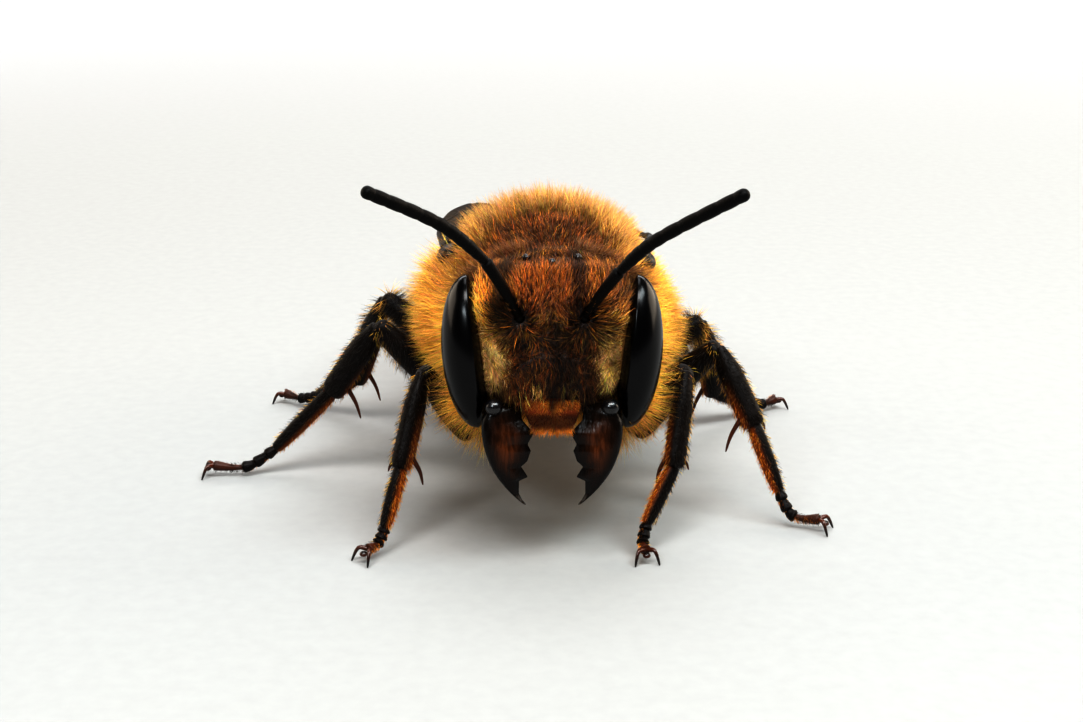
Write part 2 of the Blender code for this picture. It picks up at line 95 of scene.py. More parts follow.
# %% [markdown]
# ## Camera, floor and light
# A plain pale floor runs under the bee and fades into the pale backdrop some way off, so no edge of
# it shows. The camera looks down at it by 18 degrees from straight ahead, a hand's breadth away.
# The light is soft and comes from seven panels: a broad one high above and behind, one above the
# brow, one that only brightens the floor far behind, two small ones in front, which draw the
# streaks in the eyes, and two wide warm ones low behind, which make the edge of the coat glow. The
# room itself is dim, so that black shell stays black.

# %% Camera
LOOK_DOWN = 18  # degrees
LENS, SENSOR = 57.94, 36  # both in mm
eyepoint = bee.place + np.array((-0.33, -52.3, 23.3))
camera = bpy.data.objects.new("camera", bpy.data.cameras.new("camera"))
bpy.context.scene.collection.objects.link(camera)
camera.location = tuple(eyepoint * MM)
camera.rotation_euler = (math.radians(90 - LOOK_DOWN), 0, 0)
camera.data.sensor_width, camera.data.lens = SENSOR, LENS
camera.data.clip_start = 1 * MM
bpy.context.scene.camera = camera
view = bpy.context.scene.view_settings
view.view_transform = "Standard"
view.gamma, view.exposure = 0.66, 0.25

# %% Small helpers for node trees


def feed(tree, socket, value):
    """Gives a socket a value of its own, or links another socket to it."""
    if isinstance(value, bpy.types.NodeSocket):
        tree.links.new(value, socket)
    else:
        socket.default_value = value


def add_node(tree, kind, inputs=(), **settings):
    """One shader node: settings are its properties, and inputs pairs a socket with what it gets."""
    made = tree.nodes.new("ShaderNode" + kind)
    for key, value in settings.items():
        setattr(made, key, value)
    for name, value in inputs:
        feed(tree, made.inputs[name], value)
    return made


def blend_colour(tree, share, first, second, mode="MIX"):
    """The colour between two others at a share."""
    made = add_node(tree, "Mix", data_type="RGBA", blend_type=mode)
    for name, value in (("Factor_Float", share), ("A_Color", first), ("B_Color", second)):
        feed(tree, next(s for s in made.inputs if s.identifier == name), value)
    return next(s for s in made.outputs if s.identifier == "Result_Color")


def spread(tree, value, low, high, to_low=0.0, to_high=1.0, steps="LINEAR"):
    """Maps the stretch from low to high onto another, and holds it at both ends."""
    pairs = (("Value", value), ("From Min", low), ("From Max", high),
             ("To Min", to_low), ("To Max", to_high))
    return add_node(tree, "MapRange", pairs, interpolation_type=steps).outputs["Result"]


def math_node(tree, operation, first, second):
    """The result of one sum, product or maximum."""
    return add_node(tree, "Math", ((0, first), (1, second)), operation=operation).outputs[0]


def noise(tree, place, scale, detail=2.0):
    """Cloudy noise round 0.5."""
    pairs = (("Vector", place), ("Scale", scale), ("Detail", detail))
    return add_node(tree, "TexNoise", pairs).outputs["Fac"]


def dots(tree, place, scale):
    """How far the nearest of many scattered points is."""
    return add_node(tree, "TexVoronoi", (("Vector", place), ("Scale", scale))).outputs["Distance"]


def bumped(tree, height, depth, strength=1.0, **settings):
    """The normals of a surface on which a height of 1 stands out by depth, in mm."""
    pairs = (("Strength", strength), ("Distance", depth * MM), ("Height", height))
    return add_node(tree, "Bump", pairs, **settings).outputs["Normal"]


def object_place(tree):
    """The place on the piece, in its own coordinates."""
    return add_node(tree, "TexCoord").outputs["Object"]


def read_mark(tree, name, output="Fac"):
    """A value or colour that the mesh carries at its points."""
    return add_node(tree, "Attribute", attribute_name=name).outputs[output]


def rgb(red, green, blue):
    """An opaque colour."""
    return (red, green, blue, 1.0)


def set_shader(tree, shader, **values):
    """Gives the shader's own sockets values or links; _ in a name stands for a space."""
    for key, value in values.items():
        feed(tree, shader.inputs[key.replace("_", " ")], value)


def new_material(name, roughness, **values):
    """A Principled material, with its node tree and its shader."""
    made = bpy.data.materials.new(name)
    made.use_nodes = True
    shader = made.node_tree.nodes["Principled BSDF"]
    set_shader(made.node_tree, shader, Roughness=roughness, **values)
    return made, made.node_tree, shader

# %% Floor, room and lamps
FLOOR_HALF = 240 * MM
BACKDROP, BACKDROP_POWER = rgb(0.93, 0.94, 0.95), 0.95
FADE_FROM, FADE_TO = 35 * MM, 190 * MM  # how far from the bee the floor starts and ends to fade
floor_mesh = bpy.data.meshes.new("floor")
corners = [(x * FLOOR_HALF, y * FLOOR_HALF, 0) for x, y in ((-1, -1), (1, -1), (1, 1), (-1, 1))]
floor_mesh.from_pydata(corners, [], [(0, 1, 2, 3)])
floor = bpy.data.objects.new("floor", floor_mesh)
bpy.context.scene.collection.objects.link(floor)
paper, tree, shader = new_material("pale_paper", 0.9, Specular_IOR_Level=0.1,
                                   Emission_Strength=BACKDROP_POWER)
floor_mesh.materials.append(paper)
way_off = add_node(tree, "VectorMath", ((0, object_place(tree)),), operation="LENGTH").outputs["Value"]
far = spread(tree, way_off, FADE_FROM, FADE_TO, steps="SMOOTHSTEP")
fibre = add_node(tree, "TexNoise", (("Scale", 900.0), ("Detail", 3.0))).outputs["Fac"]
pale = blend_colour(tree, fibre, rgb(0.30, 0.30, 0.295), rgb(0.33, 0.33, 0.325))
set_shader(tree, shader, Base_Color=blend_colour(tree, far, pale, rgb(0, 0, 0)),
           Emission_Color=blend_colour(tree, far, rgb(0, 0, 0), BACKDROP))

room = bpy.data.worlds.new("room")
bpy.context.scene.world = room
room.use_nodes = True
tree = room.node_tree
dim = tree.nodes["Background"]
set_shader(tree, dim, Color=rgb(1.0, 0.86, 0.70), Strength=0.07)
bright = add_node(tree, "Background", (("Color", BACKDROP), ("Strength", BACKDROP_POWER)))
seen = add_node(tree, "LightPath").outputs["Is Camera Ray"]
both = add_node(tree, "MixShader", ((0, seen), (1, dim.outputs[0]), (2, bright.outputs[0])))
feed(tree, tree.nodes["World Output"].inputs["Surface"], both.outputs[0])


def panel(name, place, aim, size, power, colour=(1.0, 1.0, 1.0)):
    """A soft rectangular lamp at a place, looking at a point, both in the scene's millimetres."""
    lamp = bpy.data.objects.new(name, bpy.data.lights.new(name, "AREA"))
    bpy.context.scene.collection.objects.link(lamp)
    lamp.data.shape = "RECTANGLE"
    lamp.data.size, lamp.data.size_y = size[0] * MM, size[1] * MM
    lamp.data.energy = power
    lamp.data.color = colour
    lamp.location = [value * MM for value in place]
    look = Vector(aim) - Vector(place)
    lamp.rotation_euler = look.to_track_quat("-Z", "Y").to_euler()


WARM = (1.0, 0.88, 0.74)
panel("panel_above", (0, 110, 320), (0, 0, 0), (200, 190), 0.54, (0.97, 0.98, 1.0))
panel("panel_brow", (0, -110, 210), (0, 0, 5), (160, 60), 0.58, (1.0, 0.99, 0.98))
panel("panel_floor", (0, 170, 110), (0, 115, 0), (240, 60), 0.24)
panel("panel_left_front", (105, -65, 180), (0, 0, 5), (110, 60), 0.36, (0.88, 0.97, 1.0))
panel("panel_right_front", (-75, -170, 135), (0, -2, 5), (80, 20), 0.19, (0.86, 0.95, 1.0))
panel("panel_left_back", (260, 120, 90), (0, 0, 7), (300, 160), 0.74, WARM)
panel("panel_right_back", (-260, 120, 90), (0, 0, 7), (300, 160), 0.54, WARM)

# %% [markdown]
# ## Surfaces from numbers
# A form is a grid of points: rings along it, places round each ring. `tube` closes such a grid
# with a pole at each end, so every form is a closed solid whose faces point outwards. Several
# forms can be joined in one piece. `piece` puts them into a mesh, places it in the scene, gives it
# its material and hides the imported nodes that it stands for.

# %% Forms


def unit(vectors):
    """Vectors of length one."""
    return vectors / np.maximum(np.linalg.norm(vectors, axis=-1, keepdims=True), 1e-12)


def tube(rings, **marks):
    """A closed form from rings of points (rings, sides, 3): quads between neighbouring rings and a
    fan to a pole, the mean of the ring, at each end. If its volume comes out negative, it is
    turned the right way out. Marks are values at the points, carried to the material."""
    count, sides = rings.shape[:2]
    points = np.concatenate([rings.reshape(-1, 3), rings[:1].mean(1), rings[-1:].mean(1)])
    ring = np.arange(count - 1)[:, None] * sides
    here, there = np.arange(sides), (np.arange(sides) + 1) % sides
    quads = np.stack([ring + here, ring + there, ring + sides + there, ring + sides + here], -1)
    quads = quads.reshape(-1, 4)
    start, end = np.full(sides, count * sides), np.full(sides, count * sides + 1)
    top = (count - 1) * sides
    fans = [(start, there, here), (end, top + here, top + there)]
    tris = np.concatenate([np.stack(fan, -1) for fan in fans])
    a, b, c, d = (points[quads[:, k]] for k in range(4))
    volume = (a * (np.cross(b, c) + np.cross(c, d))).sum()
    volume += (points[tris[:, 0]] * np.cross(points[tris[:, 1]], points[tris[:, 2]])).sum()
    if volume < 0:
        quads, tris = quads[:, ::-1], tris[:, ::-1]
    carried = {}
    for key, values in marks.items():
        flat = np.asarray(values, float).reshape(count * sides, -1)
        carried[key] = np.concatenate([flat, flat[:sides].mean(0)[None], flat[-sides:].mean(0)[None]])
    return {"points": points, "quads": quads, "tris": tris, "marks": carried}


def joined(forms):
    """Several forms as one."""
    base = np.cumsum([0] + [len(form["points"]) for form in forms])
    whole = {"points": np.concatenate([form["points"] for form in forms])}
    for kind in ("quads", "tris"):
        whole[kind] = np.concatenate([form[kind] + start for form, start in zip(forms, base)])
    whole["marks"] = {key: np.concatenate([form["marks"][key] for form in forms])
                      for key in forms[0]["marks"]}
    return whole


def piece(name, spot, forms, material, slot, *replaced):
    """Puts forms, in a local frame, into one mesh object that rides on the body."""
    form = joined(forms)
    mesh = bpy.data.meshes.new(name)
    corners = np.concatenate([form["quads"].ravel(), form["tris"].ravel()]).astype(np.int32)
    sizes = np.concatenate([np.full(len(form["quads"]), 4), np.full(len(form["tris"]), 3)])
    mesh.vertices.add(len(form["points"]))
    mesh.vertices.foreach_set("co", spot.out(form["points"]).astype(np.float32).ravel())
    mesh.loops.add(len(corners))
    mesh.loops.foreach_set("vertex_index", corners)
    mesh.polygons.add(len(sizes))
    mesh.polygons.foreach_set("loop_start", (np.cumsum(sizes) - sizes).astype(np.int32))
    for key, values in form["marks"].items():
        if key == "bake_place":
            layer, field = mesh.uv_layers.new(name="OFBake"), "uv"
            values = values[corners]
        elif values.shape[1] == 1:
            layer, field = mesh.attributes.new(key, "FLOAT", "POINT"), "value"
        else:
            layer, field = mesh.attributes.new(key, "FLOAT_COLOR", "POINT"), "color"
            values = np.concatenate([values, np.ones((len(values), 1))], 1)
        layer.data.foreach_set(field, values.astype(np.float32).ravel())
    mesh.update(calc_edges=True)
    mesh.shade_smooth()
    mesh.materials.append(material)
    made = bpy.data.objects.new(name, mesh)
    bpy.context.scene.collection.objects.link(made)
    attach(made, "root")
    if replaced:
        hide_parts(*replaced)
    triangles = 2 * len(form["quads"]) + len(form["tris"])
    print(f"{name}: {triangles} triangles")


# %% Surfaces of two shares


def along_path(path, shares):
    """Places on the smooth Catmull-Rom curve through a few points; each stretch from one point to
    the next takes an equal share."""
    path = np.asarray(path, float)
    last = len(path) - 1
    at = np.clip(shares, 0, 1) * last
    i = np.minimum(at.astype(int), last - 1)
    t = (at - i)[..., None]
    p0, p1, p2, p3 = path[np.maximum(i - 1, 0)], path[i], path[i + 1], path[np.minimum(i + 2, last)]
    return 0.5 * (2 * p1 + (p2 - p0) * t + (2 * p0 - 5 * p1 + 4 * p2 - p3) * t**2
                  + (3 * p1 - p0 - 3 * p2 + p3) * t**3)


def rod_surface(path, radius, deep=1.0, up=(0, 0, 1)):
    """A rod: round the path by the share u, along it by the share v. The radius is a function of v,
    each ring lies square to the path, and deep flattens it sideways."""
    def surface(u, v):
        centre = along_path(path, v)
        after, before = np.minimum(v + 0.01, 1), np.maximum(v - 0.01, 0)
        ahead = unit(along_path(path, after) - along_path(path, before))
        beside = unit(np.cross(ahead, np.array(up, float)))
        above = np.cross(beside, ahead)
        angle = 2 * np.pi * u[..., None]
        return centre + radius(v)[..., None] * (deep * np.cos(angle) * beside + np.sin(angle) * above)
    return surface


def ball_surface(centre, half, lean=0.0, inner=None):
    """An ellipsoid by longitude u and latitude v, leaning about its own y axis. Where inner is
    given, the side towards the midline is scaled by that function of the height share."""
    c, s = math.cos(math.radians(lean)), math.sin(math.radians(lean))
    turn = np.array([[c, 0, s], [0, 1, 0], [-s, 0, c]])

    def surface(u, v):
        polar, angle = np.pi * v, 2 * np.pi * u
        side = np.cos(angle)
        if inner:
            side = side * np.where(side * centre[0] < 0, inner(-np.cos(polar)), 1.0)
        points = np.stack([np.sin(polar) * side * half[0], np.sin(polar) * np.sin(angle) * half[1],
                           -np.cos(polar) * half[2]], -1)
        return points @ turn.T + np.array(centre, float)
    return surface


def solid_of(surface, rings, sides, tint=None):
    """The closed form of a surface: its rings are closer together near both ends."""
    v = (1 - np.cos(np.pi * (np.arange(rings) + 0.35) / (rings - 0.3))) / 2
    v = np.broadcast_to(v[:, None], (rings, sides))
    u = np.broadcast_to(np.arange(sides) / sides, (rings, sides))
    points = surface(u, v)
    marks = {"along": v}
    if tint is not None:
        marks["tint"] = tint(points)
    return tube(points, **marks)


def round_ends(share, start, end):
    """0 at both ends, rising like a quarter circle, over the shares start and end, to 1 in between."""
    near = np.minimum(np.clip(share / start, 0, 1), np.clip((1 - share) / end, 0, 1))
    return np.sqrt(np.maximum(1 - (1 - near) ** 2, 0.0004))


def gentle(value, low=0.0, high=1.0):
    """Rises smoothly from 0 at low to 1 at high."""
    t = np.clip((value - low) / (high - low), 0, 1)
    return t * t * (3 - 2 * t)


def hump(value, middle, width):
    """A smooth bell of height 1 round middle."""
    return np.exp(-(((value - middle) / width) ** 2))

# %% [markdown]
# ## Finishes of the hard parts
# The shell of a bee is black and finely pitted, with a leathery grain between the pits. One node
# group, `shell_grain`, gives every hard part its pits, its grain and its uneven gloss, and each
# material chooses its own colours and pit spacing. All patterns read Object coordinates, so they
# are tied to the piece, in millimetres.

# %% The grain that all hard parts share


def new_group(name, inputs, outputs):
    """An empty shader group with named sockets: (name, socket type) pairs."""
    tree = bpy.data.node_groups.new(name, "ShaderNodeTree")
    for side, sockets in (("INPUT", inputs), ("OUTPUT", outputs)):
        for label, kind in sockets:
            tree.interface.new_socket(label, in_out=side, socket_type=f"NodeSocket{kind}")
    return tree, tree.nodes.new("NodeGroupInput").outputs, tree.nodes.new("NodeGroupOutput").inputs


grain, given, result = new_group(
    "shell_grain",
    (("Place", "Vector"), ("Pits per mm", "Float"), ("Grain per mm", "Float"), ("Dark", "Color"),
     ("Light", "Color"), ("Gloss", "Float")),
    (("Color", "Color"), ("Roughness", "Float"), ("Height", "Float")))
to_mm = ((0, given["Place"]), ("Scale", 1 / MM))
place = add_node(grain, "VectorMath", to_mm, operation="SCALE").outputs[0]
pit_wall = spread(grain, dots(grain, place, given["Pits per mm"]), 0.10, 0.42)
fine = noise(grain, place, given["Grain per mm"])
patchy = spread(grain, noise(grain, place, 1.3, 4.0), 0.35, 0.65)
uneven = spread(grain, fine, 0.3, 0.7, -0.06, 0.10)
feed(grain, result["Color"], blend_colour(grain, patchy, given["Dark"], given["Light"]))
feed(grain, result["Roughness"], math_node(grain, "ADD", given["Gloss"], uneven))
feed(grain, result["Height"], math_node(grain, "ADD", math_node(grain, "MULTIPLY", fine, 0.35), pit_wall))
print("shell_grain has", len(grain.nodes), "nodes")

# %% Materials of shell


def shell_material(name, dark, light, gloss, shine, pits, grain_size=34.0, depth=0.012, end=None):
    """Pitted shell. Where end gives a colour and a stretch, the colour blends to it along the piece."""
    made, tree, shader = new_material(name, gloss, Specular_IOR_Level=shine)
    pairs = (("Place", object_place(tree)), ("Pits per mm", pits), ("Grain per mm", grain_size),
             ("Dark", rgb(*dark)), ("Light", rgb(*light)), ("Gloss", gloss))
    body = add_node(tree, "Group", pairs, node_tree=grain).outputs
    colour = body["Color"]
    if end:
        share = spread(tree, read_mark(tree, "along"), *end[1:])
        colour = blend_colour(tree, share, colour, rgb(*end[0]))
    set_shader(tree, shader, Base_Color=colour, Roughness=body["Roughness"],
               Normal=bumped(tree, body["Height"], depth))
    return made


SHELLS = {  # dark, light, gloss, shine, pits per mm, grain per mm, depth in mm, the other end's colour
    "belly": ((0.004, 0.003, 0.002), (0.014, 0.007, 0.004), 0.30, 0.40, 8.0),
    "leg": ((0.002, 0.0012, 0.001), (0.006, 0.0025, 0.0015), 0.42, 0.15, 12.0),
    "foot": ((0.035, 0.008, 0.002), (0.07, 0.016, 0.003), 0.42, 0.30, 14.0, 34.0, 0.006),
    "claw": ((0.08, 0.016, 0.003), (0.05, 0.010, 0.002), 0.25, 0.50, 5.0, 34.0, 0.003,
             ((0.006, 0.003, 0.002), 0.4, 0.8)),
    "feeler": ((0.0010, 0.0008, 0.0007), (0.003, 0.002, 0.0015), 0.42, 0.12, 22.0, 60.0, 0.006),
    "scale": ((0.003, 0.003, 0.002), (0.012, 0.007, 0.004), 0.34, 0.25, 7.0, 34.0, 0.008),
    "joint": ((0.002, 0.002, 0.003), (0.004, 0.003, 0.004), 0.24, 0.75, 4.0, 34.0, 0.002),
    "lip": ((0.14, 0.024, 0.002), (0.22, 0.042, 0.003), 0.60, 0.15, 10.0, 34.0, 0.010,
            ((0.04, 0.008, 0.001), 0.25, 0.6)),
    "vein": ((0.010, 0.006, 0.004), (0.018, 0.009, 0.004), 0.35, 0.15, 6.0, 34.0, 0.004),
}
shells = {key: shell_material(f"{key}_shell", *values) for key, values in SHELLS.items()}
print("made", len(shells), "kinds of shell")

# %% [markdown]
# The compound eye is a glossy black dome. Its facets, some forty to the millimetre, are far too
# fine to model, so a Voronoi pattern only dents the highlight. The jaw is black at its edges and
# deep red-brown in the middle, with grooves that run from the root to the teeth. The red is dimmed
# in the grooves, a painted shade in them.

# %% Eye and jaw materials
eye_skin, tree, shader = new_material("eye_skin", 0.10, Specular_IOR_Level=0.25)
place = object_place(tree)
facets = dots(tree, place, 38 / MM)
cloud = noise(tree, place, 0.8 / MM)
set_shader(tree, shader, Roughness=spread(tree, facets, 0.2, 0.7, 0.16, 0.24),
           Base_Color=blend_colour(tree, cloud, rgb(0.0004, 0.0005, 0.0008), rgb(0.0012, 0.0010, 0.0014)),
           Normal=bumped(tree, facets, 0.002, 0.25, invert=True))

jaw_shell, tree, shader = new_material("jaw_shell", 0.22, Specular_IOR_Level=0.22)
stretch = (("Vector", object_place(tree)), ("Scale", (9 / MM, 9 / MM, 1.2 / MM)))
grooves = noise(tree, add_node(tree, "Mapping", stretch).outputs[0], 1.0, 3.0)
# Painted shade: the red is dimmed in the grooves of the bump and kept on the ridges.
groove_shade = spread(tree, grooves, 0.35, 0.6, 0.35, 1.0)
red_with_groove_shade = math_node(tree, "MULTIPLY", read_mark(tree, "red"), groove_shade)
set_shader(tree, shader, Roughness=spread(tree, grooves, 0.3, 0.7, 0.16, 0.34),
           Base_Color=blend_colour(tree, red_with_groove_shade, rgb(0.003, 0.0018, 0.0012), rgb(0.095, 0.026, 0.006)),
           Normal=bumped(tree, grooves, 0.02))

# %% [markdown]
# ## Colours of the coat
# Hair colour changes over the body: golden on the flanks, orange-brown down the middle of the
# face, pale beside the eyes, dark in the middle of the back. A colour for every hair comes from a
# few named blends over the place of its root, and the shell under it takes the same colour, very
# darkly, so coat and skin carry the same markings. A few of the blends are painted light and shade,
# and say so where they stand. The material then darkens each hair at its root, a painted shade for
# the depth of the coat, makes its tip paler and bluer, a painted light, and makes no two hairs quite
# alike.

# %% The hair finish
GOLD = np.array((0.98, 0.54, 0.085))
AMBER_TOP_SHADE = np.array((0.46, 0.245, 0.060))
PALE = np.array((1.00, 0.60, 0.16))
CREAM = np.array((1.00, 0.63, 0.22))
ORANGE = np.array((0.80, 0.28, 0.030))
FIRE = np.array((0.39, 0.115, 0.011))
RUST = np.array((0.29, 0.080, 0.008))
BROWN = np.array((0.15, 0.055, 0.010))
UMBER = np.array((0.26, 0.13, 0.030))
SOOT = np.array((0.012, 0.007, 0.004))

tone, given, result = new_group("hair_tone", (("Tint", "Color"), ("Along", "Float"), ("Chance", "Float")),
                                (("Color", "Color"),))
# Painted shade: each hair is darker towards its root, for the depth of the coat.
painted_root_shade = spread(tone, given["Along"], 0.0, 0.42, 0.42, 1.0)
varied = math_node(tone, "MULTIPLY", painted_root_shade, spread(tone, given["Chance"], 0.0, 1.0, 0.66, 1.20))
channels = [(channel, varied) for channel in ("Red", "Green", "Blue")]
shade = add_node(tone, "CombineColor", channels).outputs[0]
shaded = blend_colour(tone, 1.0, given["Tint"], shade, "MULTIPLY")
# Painted light: the tips are made paler and bluer, as if lit from behind.
tip_painted_light = blend_colour(tone, 1.0, shaded, rgb(1.12, 1.18, 1.6), "MULTIPLY")
tipward = spread(tone, given["Along"], 0.5, 1.0)
feed(tone, result["Color"], blend_colour(tone, tipward, shaded, tip_painted_light))

coat_hair, tree, shader = new_material("coat_hair", 0.55, Specular_IOR_Level=0.35)
pairs = (("Tint", read_mark(tree, "tint", "Color")), ("Along", read_mark(tree, "along")),
         ("Chance", read_mark(tree, "chance")))
set_shader(tree, shader, Base_Color=add_node(tree, "Group", pairs, node_tree=tone).outputs["Color"])


def under_coat(name, gloss, shine, share):
    """Shell under the coat: pitted black that takes a little of the hair's colour from the mesh."""
    made = shell_material(name, (0.004, 0.0035, 0.003), (0.012, 0.007, 0.004), gloss, shine, 10.0)
    tree = made.node_tree
    base = tree.nodes["Principled BSDF"].inputs["Base Color"]
    dim = blend_colour(tree, 1.0, read_mark(tree, "tint", "Color"), rgb(*share), "MULTIPLY")
    feed(tree, base, blend_colour(tree, 0.75, base.links[0].from_socket, dim))
    return made


coated_shell = under_coat("coated_shell", 0.5, 0.5, (0.30, 0.23, 0.15))
coated_leg = under_coat("coated_leg", 0.42, 0.15, (0.30, 0.19, 0.12))

# %% [markdown]
# ## Growing a coat
# A hair is a slender three-sided spike of seven faces. `scatter` draws roots on a surface
# by chance, in proportion to the area and to the density wanted there. `coat` grows a spike from
# each: it leaves the skin at one angle and bends over to another, and a slow swirl of the place
# makes neighbours lean together into locks. Each spike's patch of the OFBake map lies at its
# root's place on the surface's own two shares.

# %% Roots by chance
OFF_POLES = (0.02, 0.98)  # the stretch of a surface without its two ends


def scatter(surface, count, density, seed, area=((0, 1), (0, 1)), cells=(180, 140)):
    """Roots, outward normals and shares. A fine grid's cells are drawn by area times density, then a
    place inside each cell by chance. The first share is counted within the area."""
    rng = np.random.default_rng(seed)
    (low, high), up = area
    u = np.linspace(low, high, cells[0] + 1)[:, None] + np.zeros(cells[1] + 1)
    v = np.linspace(*up, cells[1] + 1)[None, :] + np.zeros((cells[0] + 1, 1))
    grid = surface(u, v)
    corners = [grid[:-1, :-1], grid[1:, :-1], grid[1:, 1:], grid[:-1, 1:]]
    cross = np.cross(corners[2] - corners[0], corners[3] - corners[1])
    centre = sum(corners) / 4
    if (cross * (centre - grid.mean((0, 1)))).sum() < 0:
        cross = -cross
    size = np.linalg.norm(cross, axis=-1)
    weight = size * density(centre, unit(cross))
    cell = rng.choice(weight.size, count, p=weight.ravel() / weight.sum())
    i, j = np.divmod(cell, cells[1])
    s, t = rng.random((2, count, 1))
    a, b, c, d = (corner[i, j] for corner in corners)
    roots = (a * (1 - s) + b * s) * (1 - t) + (d * (1 - s) + c * s) * t
    round_share = (u[i, j] + (u[1, 0] - u[0, 0]) * s[:, 0] - low) / (high - low)
    shares = np.stack([round_share, v[i, j] + (v[0, 1] - v[0, 0]) * t[:, 0]], -1)
    return roots, unit(cross)[i, j], shares


def blurred(tint_of, roots, by, seed):
    """Colours of a marking whose border is feathered: each hair looks a little aside of its root."""
    return tint_of(roots + np.random.default_rng(seed + 2000).normal(0, by, roots.shape) * (1, 0, 1.4))


def speckled(tint, other, share, seed):
    """Each hair takes the other colour with the chance given by share."""
    took = np.random.default_rng(seed + 1000).random(len(tint)) < share
    return np.where(took[:, None], other, tint)


def swirl(places, size, seed):
    """A smooth vector field: three sums of waves in directions drawn by chance."""
    rng = np.random.default_rng(seed)
    waves = rng.normal(size=(3, 6, 3)) / size
    phases = rng.random((3, 6)) * 2 * np.pi
    return np.sin(np.einsum("nk,cwk->ncw", places, waves) + phases).sum(-1) / 3

# %% Spikes
PATCH = 0.003  # the width of a spike's patch on the OFBake map
SUNK = 0.04  # how deep a spike is rooted in the skin, in mm
# A spike has two rings of three points, 0 to 5, and its tip, point 6.
SPIKE_RINGS, SPIKE_GIRTHS = np.array((0.0, 0.55)), np.array((0.90, 0.75))
SPIKE_ALONG = np.append(np.repeat(SPIKE_RINGS, 3), 1.0)
SPIKE_ACROSS = np.array((-1, 0, 1, -1, 0, 1, 0.0))
SPIKE_QUADS = np.array([(k, (k + 1) % 3, 3 + (k + 1) % 3, 3 + k) for k in range(3)])
SPIKE_TRIS = np.array([(2, 1, 0)] + [(3 + k, 3 + (k + 1) % 3, 6) for k in range(3)])


def coat(roots, normals, shares, lie, length, width, tint, seed, stand, lock=0.35, stray=0.12,
         strip=(0.0, 1.0), ragged=0.2, mottle=0.4, weave=(1, 1, 1)):
    """One form of many spikes; their width is half their thickness. Lengths differ by the share
    ragged and the colours of locks by the share mottle, and a small weave along an axis draws the
    locks out along it. The centre line is root + length (a t (1 - t/2) + b t t/2), where a and b are
    the directions at the root and at the tip; the width shrinks to nothing at the tip."""
    rng = np.random.default_rng(seed)
    count, each = len(roots), len(SPIKE_ALONG)
    length = np.broadcast_to(length, count) * rng.normal(1, ragged, count).clip(0.5, 1.35)
    tint = tint * (1 + rng.normal(size=(count, 3)) * (0.05, 0.15, 0.25)).clip(0.4, 1.6)
    patches = swirl(roots * weave, 0.16, seed + 7)[:, :1]
    tint = (tint * (1 + mottle * patches).clip(0.25, 1.7)).clip(0, 1)
    flat = unit(lie - normals * (lie * normals).sum(-1, keepdims=True))
    jitter = rng.normal(size=(count, 3)) * stray
    lean = (swirl(roots, 0.55, seed) + swirl(roots, 0.20, seed + 5)) * lock
    root_angle, tip_angle = (np.broadcast_to(angle, count)[:, None] for angle in stand)
    first = unit(normals * np.cos(root_angle) + flat * np.sin(root_angle) + jitter)
    last = unit(normals * np.cos(tip_angle) + flat * np.sin(tip_angle) + 2 * jitter + lean)
    reach = length[:, None, None]
    start = roots - normals * SUNK

    def line(share):
        bend = first[:, None] * share * (1 - share / 2) + last[:, None] * share**2 / 2
        return start[:, None] + reach * bend

    side = unit(np.cross(last, rng.normal(size=(count, 3))))
    other = np.cross(last, side)
    angle = 2 * np.pi * np.arange(3) / 3
    around = np.cos(angle)[:, None] * side[:, None] + np.sin(angle)[:, None] * other[:, None]
    radius = np.broadcast_to(width, count)[:, None] * rng.uniform(0.75, 1.2, (count, 1)) * SPIKE_GIRTHS
    rings = line(SPIKE_RINGS[None, :, None])[:, :, None] + radius[:, :, None, None] * around[:, None]
    points = np.concatenate([rings.reshape(count, -1, 3), line(np.ones((1, 1, 1)))], 1)
    base = (np.arange(count) * each)[:, None, None]
    low, high = strip
    bake = np.stack([low + (high - low) * shares[:, :1] + SPIKE_ACROSS * PATCH / 2,
                     shares[:, 1:] + (SPIKE_ALONG - 0.5) * PATCH], -1).clip(0.001, 0.999)
    marks = {"along": np.broadcast_to(SPIKE_ALONG[:, None], (count, each, 1)),
             "chance": rng.random((count, 1, 1)) * np.ones((1, each, 1)),
             "tint": np.repeat(tint[:, None], each, 1), "bake_place": bake}
    return {"points": points.reshape(-1, 3), "quads": (SPIKE_QUADS + base).reshape(-1, 4),
            "tris": (SPIKE_TRIS + base).reshape(-1, 3),
            "marks": {key: values.reshape(count * each, -1) for key, values in marks.items()}}


def fur(name, spot, slot, nodes, rooted, **hair):
    """One coat, grown from roots with their normals and shares, as a piece of its own."""
    piece(name, spot, [coat(*rooted, **hair)], coat_hair, slot, *nodes)

# %% [markdown]
# ## The head
# The head of a bee is a capsule, broad between the eyes, with a nearly flat face. It could be cut
# from an ellipsoid, but a face needs relief in the right places: the shield over the mouth, the
# ridge between the feelers, their two sockets, a line down the brow. So the capsule is a stack of
# rounded rings, and bells of height push its front in and out.

# %% Head capsule
HEAD_HALF_WIDTH, HEAD_FRONT, HEAD_BACK = 3.02, 1.30, 1.55
HEAD_TOP, HEAD_MIDDLE, HEAD_BOTTOM = 2.72, 0.30, -1.98
SOCKET = (1.00, 0.88)  # sideways and upwards


def soft(value, power):
    """A signed power: under 1 it makes a circle boxier."""
    return np.sign(value) * np.abs(value) ** power


